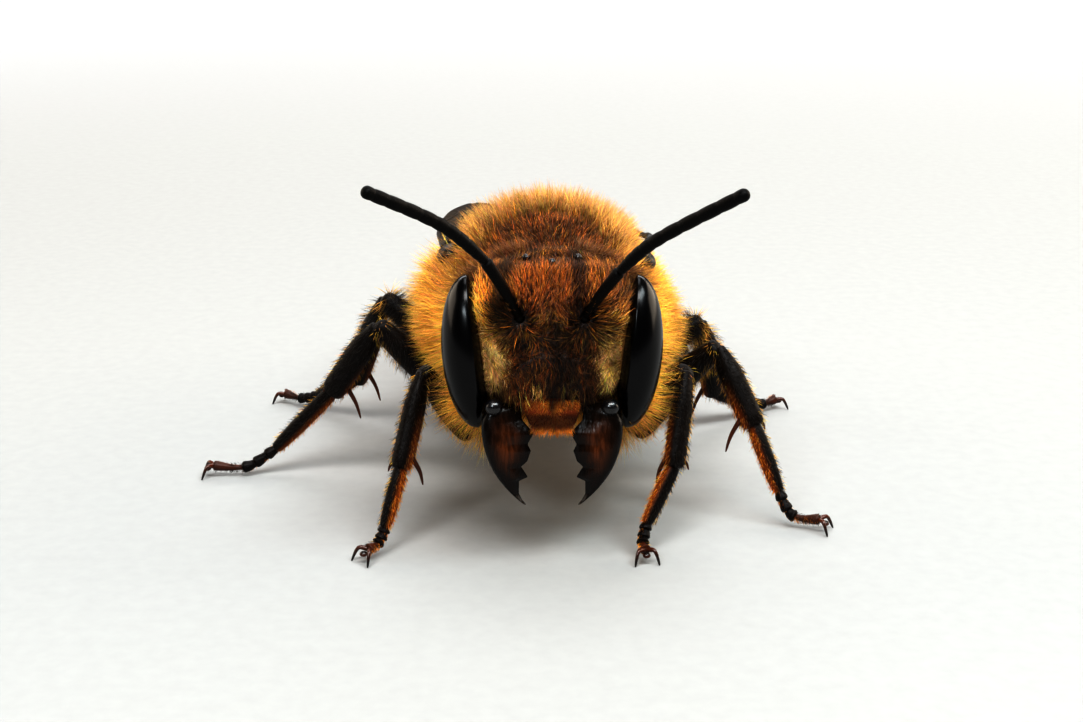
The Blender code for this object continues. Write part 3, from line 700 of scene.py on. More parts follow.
def head_surface(u, v):
    """Round the head by u from its left, up it by v; relief is added along the view of the face."""
    turn = -np.cos(np.pi * v)
    above = turn > 0
    z = HEAD_MIDDLE + turn * np.where(above, HEAD_TOP - HEAD_MIDDLE, HEAD_MIDDLE - HEAD_BOTTOM)
    power = np.where(above, 2.0, 2.6)
    share = np.maximum(1 - np.abs(turn) ** power, 0) ** (1 / power)
    angle = 2 * np.pi * u
    x = HEAD_HALF_WIDTH * share * soft(np.cos(angle), 0.85)
    y = soft(np.sin(angle), 0.85) * np.where(np.sin(angle) > 0, HEAD_BACK, HEAD_FRONT) * share**0.55
    ahead = gentle(-y, 0.15, 0.95)
    shield = gentle(1.25 - (x / 1.38) ** 2 - ((z + 1.02) / 0.86) ** 2, 0.0, 0.5)
    ridge = hump(x, 0, 0.42) * hump(z, 0.25, 0.55)
    sockets = np.exp(-((np.abs(x) - SOCKET[0]) ** 2 + (z - SOCKET[1]) ** 2) / 0.26**2)
    line = hump(x, 0, 0.06) * gentle(z, 0.7, 1.1) * gentle(-z, -2.4, -2.0)
    relief = 0.26 * shield + 0.14 * ridge - 0.16 * sockets - 0.05 * line + 0.08 * hump(z, 1.5, 0.7)
    return np.stack([x, y - ahead * relief, z], -1)

# %% Markings of the head


def mixed(tint, other, share):
    """Blends another colour over the tint by a share."""
    return tint + (other - tint) * share[..., None]


def layered(places, base, *layers):
    """A colour for every place: each layer blends its own colour, by its share, over those before."""
    tint = np.broadcast_to(base, places.shape)
    for colour, share in layers:
        tint = mixed(tint, colour, share)
    return tint


def folded(places):
    """The coordinates of places, with the two sides of the head folded onto each other."""
    return np.abs(places[..., 0]), places[..., 1], places[..., 2]


def head_tint(places):
    """Golden cheeks, pale beside the eyes, fiery down the brow, dark shield, sockets and crown. Dark
    spokes run out from each socket; an angle of 0 is towards the eye and -90 is down. Some layers
    are painted light and shade: the pale patch is weaker on the bee's left and a brown patch lies
    beside its left feeler, both painted shade; a golden band beside the eyes is far stronger on the
    bee's right, where the extra strength is painted light; orange low under the head is a painted
    warm shade."""
    x, y, z = folded(places)
    bees_left = places[..., 0] > 0
    ahead = gentle(-y, 0.0, 0.7)
    edge = 0.10 * np.sin(9 * z + 2 * np.sign(places[..., 0])) + 0.06 * np.sin(23 * z)
    away = np.hypot(x - SOCKET[0], z - SOCKET[1])
    angle = np.degrees(np.arctan2(z - SOCKET[1], x - SOCKET[0]))
    spokes = sum(hump(angle, middle, 9) for middle in (-88, -60, -30, 16))
    return layered(
        places, GOLD,
        # Pale patch beside each eye; it is weaker on the bee's left as painted shade.
        (CREAM, ahead * gentle(x, 1.3, 1.5) * gentle(-z, -0.7, -0.3) * np.where(bees_left, 0.85, 1.0)),
        (BROWN * 0.6, ahead * gentle(-z, 0.95, 1.35)),
        # Painted warm shade: orange low under the head, where the fringe lies in shade.
        (ORANGE * 1.15, 0.32 * gentle(-z, 0.8, 1.6) * gentle(y, -0.7, 0.1)),
        (ORANGE * 0.8 + UMBER * 0.4, ahead * gentle(-x, -2.6, -2.2) * gentle(z, 0.4, 1.0)),
        # Painted shade: a brown patch beside the left feeler, on the bee's left only.
        (BROWN * 1.2, 0.85 * ahead * gentle(places[..., 0], 1.1, 1.6) * gentle(z, 0.5, 1.0)),
        (RUST * 0.9, ahead * gentle(-x, -1.4, -0.9) * gentle(z, 0.2, 0.8)),
        (FIRE, ahead * gentle(-x, -1.2, -0.3) * gentle(z, 0.5, 1.5)),
        (BROWN * 1.6, 0.75 * gentle(z, 0.9, 1.9) * gentle(x, 1.5, 2.0) * gentle(y, -0.5, 0.1)),
        (BROWN, 0.9 * gentle(x, 0.8, 1.3) * gentle(z, 1.3, 1.9)),
        (BROWN, gentle(z, 2.0, 2.4) * gentle(-x, -2.5, -1.6)),
        (BROWN * 0.8, ahead * gentle(-x + edge, -1.72, -1.32) * gentle(-z, -0.85, -0.15)),
        # A golden band beside each eye; its much greater strength on the bee's right is painted light.
        ((GOLD + ORANGE) / 2,
         np.where(bees_left, 0.10, 0.80) * ahead * gentle(x, 1.2, 1.45) * hump(z, 0.72, 0.34)),
        (SOOT, 0.93 * ahead * np.clip(spokes, 0, 1) * gentle(-away, -1.2, -0.6)),
        (SOOT, 0.95 * ahead * np.exp(-(away / 0.44) ** 2)))


piece("head_shell", head, [solid_of(head_surface, 90, 120, head_tint)],
      coated_shell, "black_shell", "head")

# %% Eyes and ocelli
EYE_HALF = (0.95, 1.20, 2.42)
EYE_LEAN = 4


def eye_inner(rise):
    """The side towards the face is flatter than the outer one, and the flatter the higher."""
    return 0.38 - 0.14 * rise


for side, sign in SIDES.items():
    form = solid_of(ball_surface(EYE_PLACE * (sign, 1, 1), EYE_HALF, sign * EYE_LEAN, eye_inner), 56, 64)
    piece(f"eye_dome_{side}", head, [form], eye_skin, "compound_eye", f"eye_{side}")
OCELLI = ((0.0, -0.84, 2.56), (0.80, -0.42, 2.66), (-0.80, -0.42, 2.66))
piece("ocelli", head, [solid_of(ball_surface(place, (0.13, 0.14, 0.12)), 12, 18) for place in OCELLI],
      shells["joint"], "compound_eye")

# %% [markdown]
# ## Feelers
# A feeler has a ball in its socket, a long first joint, the scape, and beyond the elbow a whip of
# eleven short joints that thicken a little at first. Each joint is a small barrel whose waist leaves
# a dark ring between it and the next, so the whip is one rod whose radius dips at every joint.

# %% Feelers
FEELER_JOINTS = {
    "left": ((2.00, -2.60, 2.50), (3.05, -3.60, 3.55), (5.45, -5.40, 5.05)),
    "right": ((-2.00, -2.60, 2.80), (-3.25, -3.80, 4.00), (-5.33, -5.40, 5.11)),
}
FEELER_ROOT_DEPTH = -1.10
WHIP_JOINTS = 11


def scape_radius(v):
    """A rod that thickens a little towards the elbow."""
    return (0.145 + 0.045 * v) * round_ends(v, 0.05, 0.08)


def whip_radius(v):
    """Barrels: the radius dips at each joint, and grows from the elbow outwards."""
    joint = np.abs(np.sin(np.pi * WHIP_JOINTS * v)) ** 0.35
    return (0.150 + 0.045 * gentle(v, 0.0, 0.3)) * (0.84 + 0.16 * joint) * round_ends(v, 0.03, 0.05)


for side, sign in SIDES.items():
    elbow, bend, tip = (np.array(point) for point in FEELER_JOINTS[side])
    socket = np.array((sign * SOCKET[0], FEELER_ROOT_DEPTH, SOCKET[1]))
    ball = solid_of(ball_surface(socket, (0.19, 0.19, 0.19)), 10, 18)
    scape = rod_surface([socket, (socket + elbow) / 2 + (0, 0, 0.05), elbow], scape_radius)
    whip = solid_of(rod_surface([elbow, bend, tip], whip_radius), 200, 20)
    piece(f"scape_shell_{side}", head, [ball, solid_of(scape, 40, 20)], shells["feeler"],
          "black_shell", f"scape_{side}")
    piece(f"whip_shell_{side}", head, [whip], shells["feeler"], "black_shell", f"flagellum_{side}")

# %% [markdown]
# ## Jaws and lip
# The jaw is a broad blade: a smooth outer edge that curves in, three teeth along the inner edge
# and a hooked tip. It is a stack of lens-shaped rings between two edge curves. The ball on which
# it swings stands out beside the lip and catches the light. The lip is a small orange plate that
# hangs between the jaws.

# %% Jaws
JAW_ROOT_DEPTH, JAW_TOP, JAW_LENGTH = -1.05, -1.80, 3.25
# The inner edge, with its three teeth: (way down the blade, way from the midline in mm).
JAW_TEETH = ((0.0, 1.00), (0.16, 0.93), (0.28, 0.57), (0.385, 0.76), (0.45, 0.66), (0.55, 0.77),
             (0.605, 0.96), (0.71, 0.75), (0.75, 1.03), (0.88, 1.04), (0.95, 0.93), (1.0, 0.80))


def jaw_edges(v):
    """The outer edge bends in towards the tip, and the inner one carries the teeth."""
    outer = 2.22 - 1.38 * v**2.9 - 0.22 * hump(v, 0.0, 0.12)
    inner = np.interp(v, *np.array(JAW_TEETH).T)
    return np.maximum(outer, inner + 0.02), inner


def jaw_surface(sign):
    def surface(u, v):
        """Round the blade by u, down it by v."""
        outer, inner = jaw_edges(v)
        angle = 2 * np.pi * u
        thick = (0.50 - 0.30 * v) * round_ends(v, 0.10, 0.03)
        across = soft(np.cos(angle), 0.8)
        keel = 0.07 * hump(across, -0.15, 0.35) * gentle(-v, -0.9, -0.6) * (np.sin(angle) > 0)
        x = (outer + inner) / 2 + (outer - inner) / 2 * across * round_ends(v, 0.05, 0.02)
        bulge = (thick + keel) * soft(np.sin(angle), 0.8) * (0.55 + 0.45 * across)
        y = JAW_ROOT_DEPTH - 0.30 * np.sin(np.pi * v) - bulge
        return np.stack([sign * x, y, JAW_TOP - JAW_LENGTH * v], -1)
    return surface


def jaw_red(places):
    """Red in the middle of the blade, away from its root, its tip and its edges."""
    v = (JAW_TOP - places[..., 2]) / JAW_LENGTH
    outer, inner = jaw_edges(np.clip(v, 0, 1))
    across = (np.abs(places[..., 0]) - inner) / np.maximum(outer - inner, 0.05)
    return (hump(across, 0.50, 0.22) * hump(v, 0.40, 0.21))[..., None]


for side, sign in SIDES.items():
    blade = solid_of(jaw_surface(sign), 110, 36)
    blade["marks"]["red"] = jaw_red(blade["points"])
    piece(f"jaw_{side}", head, [blade], jaw_shell, "jaw_shell", f"mandible_{side}")
    knob = solid_of(ball_surface((sign * 1.80, -1.36, -1.88), (0.28, 0.26, 0.26)), 24, 32)
    piece(f"jaw_joint_{side}", head, [knob], shells["joint"], "jaw_shell", f"mandible_{side}")

# %% Lip
LIP_TOP, LIP_HEIGHT, LIP_DEPTH = -1.60, 1.02, -1.26


def lip_surface(u, v):
    """A plate down from the shield's edge by v, a little narrower below, with a ridge across it."""
    angle = 2 * np.pi * u
    half = (0.93 - 0.30 * v**1.5) * round_ends(v, 0.30, 0.25)
    thick = 0.24 * round_ends(v, 0.2, 0.25) + 0.07 * hump(v, 0.45, 0.12)
    y = LIP_DEPTH - thick * soft(np.sin(angle), 0.6) * (1 - 0.25 * v)
    return np.stack([half * soft(np.cos(angle), 0.6), y, LIP_TOP - LIP_HEIGHT * v + 0 * u], -1)


piece("lip_plate", head, [solid_of(lip_surface, 40, 48)], shells["lip"], "lip_shell", "labrum")

# %% [markdown]
# ## The thorax
# The chest is nearly a ball, 7 mm wide, and its shell hardly shows: only the middle of the back,
# where the hair is short and dark. Still it gets its plates: the collar in front, the round shield
# of the back, the little shield behind a groove. The neck and the wing scales are forms of their own.

# %% Thorax shell
CHEST_HALF = (3.72, 3.45, 3.35)
CHEST_DOWN = 2.75


def chest_surface(u, v):
    """Round the body's axis by u, from the neck to the waist by v."""
    turn, angle = np.pi * v, 2 * np.pi * u
    reach = np.sin(turn)
    rise = soft(np.sin(angle), 0.95)
    x = CHEST_HALF[0] * reach * soft(np.cos(angle), 0.95) * (1 - 0.14 * rise)
    y = -CHEST_HALF[1] * soft(np.cos(turn), 0.9)
    z = rise * reach * np.where(rise > 0, CHEST_HALF[2], CHEST_DOWN)
    top = gentle(rise, 0.2, 0.8)
    swell = 0.16 * hump(y, 2.3, 0.5) - 0.16 * hump(y, 1.65, 0.16) - 0.12 * hump(y, -2.35, 0.18)
    lines = hump(x, 1.5, 0.07) + hump(x, -1.5, 0.07) + hump(x, 0, 0.05)
    swell = swell - 0.05 * lines * gentle(-y, -1.0, -0.4)
    return np.stack([x, y, z + top * swell], -1) + THORAX


def from_chest(places):
    """The coordinates of places, from the middle of the thorax."""
    return np.moveaxis(places - THORAX, -1, 0)


def disc_of_back(places):
    """1 in the middle of the back, where the hair is short and dark, and 0 outside."""
    x, y, z = from_chest(places)
    place = ((x + 0.25) / 2.10) ** 2 + ((y + 1.75) / 1.85) ** 2
    return gentle(1.25 - place, 0.0, 0.45) * gentle(z, 0.5, 1.3)


def chest_tint(places):
    """Gold all over, orange low on the flanks, brown on the disc of the back. Pale underneath, partly
    the hair's colour and partly painted light from the floor. Brown on the shoulders by the wing
    bases is painted shade, stronger on the bee's right, and the darker amber on top is painted shade
    that tones down the light from above.
    """
    x, y, z = from_chest(places)
    # Where painted shade by the wing bases falls on the shoulders.
    painted_wing_shade = hump(np.abs(x), 2.9, 0.8) * hump(z, 2.0, 0.9) * gentle(-y, -0.5, 0.8)
    return layered(
        places, GOLD,
        (ORANGE, 0.35 * hump(z, 0.6, 1.5) * gentle(-y, -0.5, 1.5)),
        # Pale underneath: partly the hair's colour, partly painted light from the floor.
        (PALE, 0.6 * gentle(-z, 0.6, 2.0)),
        # Painted shade: brown on the shoulders by the wing bases, stronger on the bee's right.
        (BROWN * 1.5, painted_wing_shade * np.where(x < 0, 0.9, 0.72)),
        # Painted shade: the top of the coat is darkened to amber against the light from above.
        (AMBER_TOP_SHADE, gentle(z, 1.6, 2.8)),
        (BROWN * 0.66, disc_of_back(places)))


neck = rod_surface([(0, 0.9, 6.6), (0, 3.2, 6.3)], lambda v: 1.15 + 0 * v)
waist = rod_surface([(-0.35, 8.6, 4.9), (-0.80, 10.6, 4.6)], lambda v: 0.75 + 0 * v)
forms = [solid_of(form, rings, sides, chest_tint)
         for form, rings, sides in ((chest_surface, 90, 110), (neck, 6, 24), (waist, 6, 24))]
piece("chest_shell", bee, forms, coated_shell, "black_shell", "thorax")
for side, sign in SIDES.items():
    path = [(sign * out + THORAX[0], back, up) for out, back, up in
            ((3.10, 5.80, 8.10), (3.45, 6.35, 8.62), (3.42, 7.10, 8.62))]
    hinge = rod_surface(path, lambda v: (0.20 - 0.08 * v) * round_ends(v, 0.1, 0.1))
    place = np.array((sign * 3.55 + THORAX[0], 5.50, 8.45))
    sunk = 0.28 if side == "left" else 0.06
    scale = ball_surface(place - (sign * sunk, 0, sunk), (0.40, 0.62, 0.28), sign * 35)
    for name, form, node in (("hinge", solid_of(hinge, 30, 20), "forewing"),
                             ("scale", solid_of(scale, 26, 34), "tegula")):
        piece(f"wing_{name}_{side}", bee, [form], shells["scale"], "black_shell", f"{node}_{side}")

# %% [markdown]
# ## The abdomen
# Six rings slide into each other like a telescope: the rear edge of each lies over the front of
# the next. Each ring is a band of one long rounded form, a little wider at its rear, where the
# edge turns in. The last ring closes the tip.

# %% Abdomen shell
ABDOMEN_LENGTH = 11.4
ABDOMEN_HALF = (3.32, 2.02, 2.14)  # sideways, up and down
RING_ENDS = (0.0, 0.20, 0.41, 0.61, 0.79, 0.92, 1.0)


def fullness(share):
    """A blunt front, the widest place at 0.4, and a long taper to a rounded tip."""
    front = np.maximum(1 - np.clip((0.4 - share) / 0.4, 0, 1) ** 2.8, 0) ** (1 / 2.8)
    rear = np.maximum(1 - np.clip((share - 0.4) / 0.6, 0, 1) ** 2.3, 0) ** (1 / 2.1)
    return np.where(share < 0.4, front, rear)


def abdomen_surface(u, v, swell=0.0):
    """Round the axis by u, back along it by v; the axis sinks a little towards the tip."""
    angle = 2 * np.pi * u
    full = fullness(v)
    least = np.where(v < 0.4, 0.7, 0.0)
    rise = soft(np.sin(angle), 0.95)
    up = np.where(rise > 0, ABDOMEN_HALF[1], ABDOMEN_HALF[2])
    x = (np.maximum(ABDOMEN_HALF[0] * full, least) + swell) * soft(np.cos(angle), 0.95)
    z = (np.maximum(up * full, least) + swell) * rise - 0.80 * v**2
    return np.stack([x, ABDOMEN_LENGTH * v, z], -1)


def ring_surface(number):
    """One ring: it starts under the ring in front, widens to its rear edge, and turns in there."""
    start, end = RING_ENDS[number - 1:number + 1]
    tuck = 0.03 if number > 1 else 0.0
    edge, inward = (0.075, -0.14) if number < 6 else (0.0, 0.0)

    def surface(u, v):
        late = end if number < 6 else 0.985
        share = np.interp(v, (0, 0.10, 0.93, 1.0), (start - tuck, start, late, end))
        swell = np.interp(v, (0, 0.10, 0.16, 0.93, 0.965, 1.0),
                          (-4 * tuck, -2 * tuck, 0.0, edge, edge * 0.7, inward))
        return abdomen_surface(u, share, swell)
    return surface


for number in range(1, 7):
    piece(f"belly_ring_{number}", abdomen, [solid_of(ring_surface(number), 44, 96)],
          shells["belly"], "black_shell", f"abdomen_{number}")

# %% [markdown]
# ## Wings
# Four wings lie folded back over the abdomen. Each is a film a few hundredths of a millimetre
# thick, stiffened by veins, and smoky brown at its tip. The film is one thin closed sheet between
# an inner and an outer edge. The veins are rods laid along paths in the wing's own two shares:
# how far along it, and how far from its front (outer) edge to its rear (inner) one.

# %% Shapes of wings and paths of veins
WING_ROOT = (3.75, 8.78)  # sideways, and the height that the blades would have over the midline
WING_DROOP, WING_ARCH = 0.140, 0.020
# (root's way back, length, outward swell, inner edge, tip's place, depth under the forewing)
WINGS = {"forewing": (0.0, 14.0, 0.45, 0.05, 1.05, 0.0), "hindwing": (1.1, 10.0, 0.00, 0.15, 1.30, 0.56)}
# Veins as paths of (share along, share from the front edge to the rear), with a half width in mm.
VEINS = {
    "forewing": (
        (0.085, ((0.0, 0.10), (0.2, 0.02), (0.4, 0.015), (0.55, 0.015), (0.64, 0.02))),
        (0.080, ((0.0, 0.16), (0.2, 0.10), (0.4, 0.09), (0.52, 0.09))),
        (0.060, ((0.02, 0.40), (0.2, 0.36), (0.36, 0.36), (0.50, 0.42), (0.58, 0.50))),
        (0.055, ((0.02, 0.60), (0.22, 0.62), (0.40, 0.70), (0.46, 0.80))),
        (0.050, ((0.34, 0.09), (0.36, 0.22), (0.35, 0.36))),
        (0.050, ((0.36, 0.22), (0.50, 0.24), (0.60, 0.27), (0.70, 0.24))),
        (0.048, ((0.50, 0.24), (0.505, 0.33), (0.50, 0.42))),
        (0.048, ((0.52, 0.09), (0.56, 0.17), (0.60, 0.27))),
        (0.046, ((0.60, 0.27), (0.605, 0.38), (0.58, 0.50))),
        (0.050, ((0.56, 0.05), (0.66, 0.17), (0.76, 0.20), (0.84, 0.07))),
        (0.044, ((0.36, 0.36), (0.37, 0.52), (0.40, 0.70))),
        (0.040, ((0.70, 0.24), (0.665, 0.36), (0.665, 0.52))),
        (0.040, ((0.58, 0.50), (0.665, 0.52), (0.70, 0.60))),
    ),
    "hindwing": (
        (0.070, ((0.0, 0.12), (0.2, 0.03), (0.45, 0.02), (0.60, 0.03))),
        (0.050, ((0.02, 0.35), (0.25, 0.28), (0.45, 0.30), (0.70, 0.36))),
        (0.045, ((0.02, 0.60), (0.25, 0.66), (0.42, 0.80))),
        (0.040, ((0.36, 0.02), (0.40, 0.15), (0.42, 0.30))),
    ),
}

# %% Blades and veins


def wing_edges(share, swell, inner_edge, tip):
    """The folded wing's inner and outer edge, as ways from the midline; both end at its tip."""
    rounding = np.sqrt(np.maximum(1 - np.clip((share - 0.78) / 0.22, 0, 1) ** 2.2, 0))
    outer = WING_ROOT[0] + (tip + 0.60 - WING_ROOT[0]) * share + swell * np.sin(np.pi * share)
    inner = WING_ROOT[0] - 0.30 - (WING_ROOT[0] - 0.30 - inner_edge) * gentle(share / 0.42)
    return tip + (inner - tip) * rounding, tip + (outer - tip) * rounding


def wing_point(kind, sign, along, across, lift=0.0):
    """A point of the arched and slightly rippled blade; lift raises it."""
    behind, length, swell, inner_edge, tip, depth = WINGS[kind]
    inner, outer = wing_edges(along, swell, inner_edge, tip)
    out = outer + (inner - outer) * across
    back = behind + length * along
    ripple = 0.035 * np.sin(9 * along + 5 * across) * np.sin(np.pi * across)
    height = WING_ROOT[1] - depth - WING_DROOP * back - WING_ARCH * out**2 + ripple + lift
    return np.stack([sign * out, back, height], -1)


def film_surface(kind, sign):
    def surface(u, v):
        """Once round a flat ring by u: out on the upper face, back on the lower one."""
        angle = 2 * np.pi * u
        return wing_point(kind, sign, 0.992 * v, (1 - np.cos(angle)) / 2, 0.022 * soft(np.sin(angle), 0.5))
    return surface


def vein_surface(kind, sign, half, path):
    def surface(u, v):
        along, across = np.moveaxis(along_path(path, v), -1, 0)
        centre = wing_point(kind, sign, along, across)
        ahead = unit(centre[-1:] - centre[:1])
        beside = unit(np.cross(ahead, (0, 0, 1.0)))
        angle = 2 * np.pi * u[..., None]
        thick = half * round_ends(v, 0.03, 0.03)[..., None] * (1 - 0.35 * v[..., None])
        return centre + thick * (np.cos(angle) * beside + np.sin(angle) * np.array((0, 0, 1.0)))
    return surface

# %% Four wings
wing_film, tree, shader = new_material("wing_film", 0.45, Specular_IOR_Level=0.08)
along, place = read_mark(tree, "along"), object_place(tree)
brown, tip_brown = rgb(0.040, 0.024, 0.010), rgb(0.014, 0.009, 0.006)
smoky = blend_colour(tree, spread(tree, along, 0.25, 0.50), rgb(0.004, 0.003, 0.002), brown)
smoky = blend_colour(tree, spread(tree, along, 0.45, 0.95), smoky, tip_brown)
speck = spread(tree, dots(tree, place, 11 / MM), 0.05, 0.16, 0.6, 0.0)
blade, root = spread(tree, along, 0.15, 0.75, 0.80, 0.93), spread(tree, along, 0.30, 0.55, 0.97, 0.0)
set_shader(tree, shader, Base_Color=blend_colour(tree, speck, smoky, rgb(0.03, 0.015, 0.006)),
           Alpha=math_node(tree, "MAXIMUM", blade, root),
           Normal=bumped(tree, noise(tree, place, 2.2 / MM, 3.0), 0.06))
for kind in WINGS:
    for side, sign in SIDES.items():
        film = solid_of(film_surface(kind, sign), 90, 64)
        piece(f"{kind}_film_{side}", wings, [film], wing_film, "wing_film", f"{kind}_{side}")
        veins = [solid_of(vein_surface(kind, sign, half, path), 30, 8) for half, path in VEINS[kind]]
        piece(f"{kind}_veins_{side}", wings, veins, shells["vein"], "wing_film", f"{kind}_{side}")

# %% [markdown]
# ## Legs
# Each leg is a chain: a cone at the body with a short ring after it, a long thigh, a shin that
# widens downwards and ends in a spur and a thorn, a long first foot joint, three tiny heart-shaped
# joints, and a longer last one that carries two claws with a pad between them. Every link is a rod
# whose radius is its own small formula. The joints below are in millimetres in the bee's frame.

# %% Leg joints and girths
LEG_JOINTS = {
    "front_right": ((-1.30, 4.20, 3.60), (-2.75, 3.00, 2.65), (-4.20, 1.55, 5.45), (-4.85, 0.05, 2.70),
                    (-5.35, -0.75, 0.95), (-5.55, -1.00, 0.52), (-5.85, -1.30, 0.42)),
    "front_left": ((1.20, 4.20, 3.60), (2.90, 3.00, 2.75), (4.38, 1.50, 5.50), (3.95, 0.20, 2.70),
                   (3.05, -0.55, 1.00), (2.92, -0.95, 0.52), (2.98, -1.35, 0.42)),
    "middle_right": ((-1.50, 6.00, 3.70), (-3.10, 5.40, 3.05), (-6.00, 5.20, 5.90), (-7.70, 6.00, 3.25),
                     (-9.85, 6.20, 1.00), (-10.90, 6.05, 0.36), (-12.10, 6.00, 0.42)),
    "middle_left": ((1.30, 6.00, 3.60), (3.10, 5.20, 2.85), (5.65, 4.00, 5.50), (6.80, 2.80, 3.15),
                    (7.60, 1.80, 1.15), (8.05, 1.45, 0.42), (8.90, 1.10, 0.42)),
    "hind_right": ((-1.60, 8.10, 3.80), (-2.90, 9.00, 3.05), (-6.20, 10.30, 5.40), (-7.50, 11.80, 1.80),
                   (-9.20, 13.10, 0.62), (-9.90, 13.50, 0.36), (-10.60, 13.90, 0.42)),
    "hind_left": ((1.30, 8.10, 3.80), (2.50, 9.00, 3.05), (5.65, 10.10, 4.55), (6.30, 11.10, 1.50),
                  (7.90, 12.35, 0.62), (8.40, 12.80, 0.36), (8.95, 13.20, 0.42)),
}
LEG_GIRTHS = {  # half widths: cone, thigh, shin, first foot joint
    "front": (0.52, 0.45, 0.41, 0.27),
    "middle": (0.56, 0.53, 0.45, 0.29),
    "hind": (0.62, 0.60, 0.50, 0.33),
}
FLATTENING = 0.86
CLAW_SPREAD = 0.36

# %% Links of a leg


def between(start, end, share):
    """A point between two others."""
    return np.asarray(start) + (np.asarray(end) - np.asarray(start)) * share


def thigh_radius(girth, v):
    """Thin at the hip, full before the middle, waisted again at the knee."""
    full = np.sin(np.pi * np.clip(v, 0, 1) ** 0.8) ** 0.8
    return (0.20 + (girth - 0.20) * full + 0.08 * gentle(v, 0.7, 1.0)) * round_ends(v, 0.05, 0.06)


def shin_radius(girth, v):
    """Widens from the knee to its full girth, and ends in a blunt rim."""
    full = gentle(v, 0.0, 0.42)
    return (0.22 + (girth - 0.22) * full - 0.07 * gentle(v, 0.82, 1.0)) * round_ends(v, 0.04, 0.05)


def first_joint_radius(girth, v):
    """Slender at the ankle, full soon after it, slender again at the heel."""
    full = np.sin(np.pi * np.clip(v, 0, 1) ** 0.7) ** 0.6
    return (0.16 + (girth - 0.16) * full) * round_ends(v, 0.05, 0.08)


def bead_radius(v):
    """A small heart-shaped joint: narrow at its root and wide at its end."""
    return (0.135 + 0.075 * gentle(v, 0.0, 0.8)) * round_ends(v, 0.14, 0.25)


def last_joint_radius(v):
    """The last foot joint is slender and widens slowly."""
    return (0.095 + 0.085 * gentle(v, 0.1, 0.9)) * round_ends(v, 0.10, 0.10)


def pointed(half, power, least, *path, up=(0, 0, 1)):
    """A spine or a claw: a rod through three points, whose half width shrinks towards its tip."""
    return rod_surface(path, lambda v: half * (1 - v) ** power + least, up=up)


def leg_links(leg):
    """Named surfaces of one leg's links, from the body to the first foot joint, and its joints."""
    cone, thigh, shin, first = LEG_GIRTHS[leg.split("_")[0]]
    joints = body, hip, knee, ankle, heel, _, _ = [np.array(joint) for joint in LEG_JOINTS[leg]]
    links = {
        "cone": rod_surface([body, between(body, hip, 0.82)],
                            lambda v: (cone - (cone - 0.33) * v**1.5) * round_ends(v, 0.10, 0.18)),
        "ring": rod_surface([between(body, hip, 0.72), between(hip, knee, 0.10)],
                            lambda v: (0.30 - 0.06 * v) * round_ends(v, 0.2, 0.2)),
        "thigh": rod_surface([hip, between(hip, knee, 1.02)],
                             lambda v: thigh_radius(thigh, v), FLATTENING),
        "shin": rod_surface([knee, between(knee, ankle, 1.03)],
                            lambda v: shin_radius(shin, v), FLATTENING),
        "first": rod_surface([ankle, between(ankle, heel, 1.02)],
                             lambda v: first_joint_radius(first, v), FLATTENING),
    }
    return links, joints


def leg_tint(name, normals, v, sign):
    """Cream on the cone and its ring, partly the hair's colour and partly painted light from the floor
    below; black on the thigh and the shin, rusty on the inner side of the foot and of the shin's
    lower half."""
    inner = -sign * normals[..., 0]
    # The cream of the cones and rings is partly painted light from the floor below.
    tint = np.broadcast_to(CREAM if name in ("cone", "ring") else SOOT, normals.shape)
    if name in ("first", "foot"):
        tint = mixed(tint, ORANGE, gentle(inner, 0.0, 0.65))
    if name == "shin":
        tint = mixed(tint, ORANGE * 0.9, 0.9 * gentle(inner, 0.35, 0.85) * gentle(v, 0.35, 0.75))
    return tint


def leg_skin(name, surface, rings, sides, sign):
    """A link's closed form with the markings of its hair; a ring's middle gives the way outwards."""
    def tint(points):
        v = (1 - np.cos(np.pi * np.linspace(0, 1, rings)))[:, None] / 2
        return leg_tint(name, unit(points - points.mean(1, keepdims=True)), v, sign)
    return solid_of(surface, rings, sides, tint)


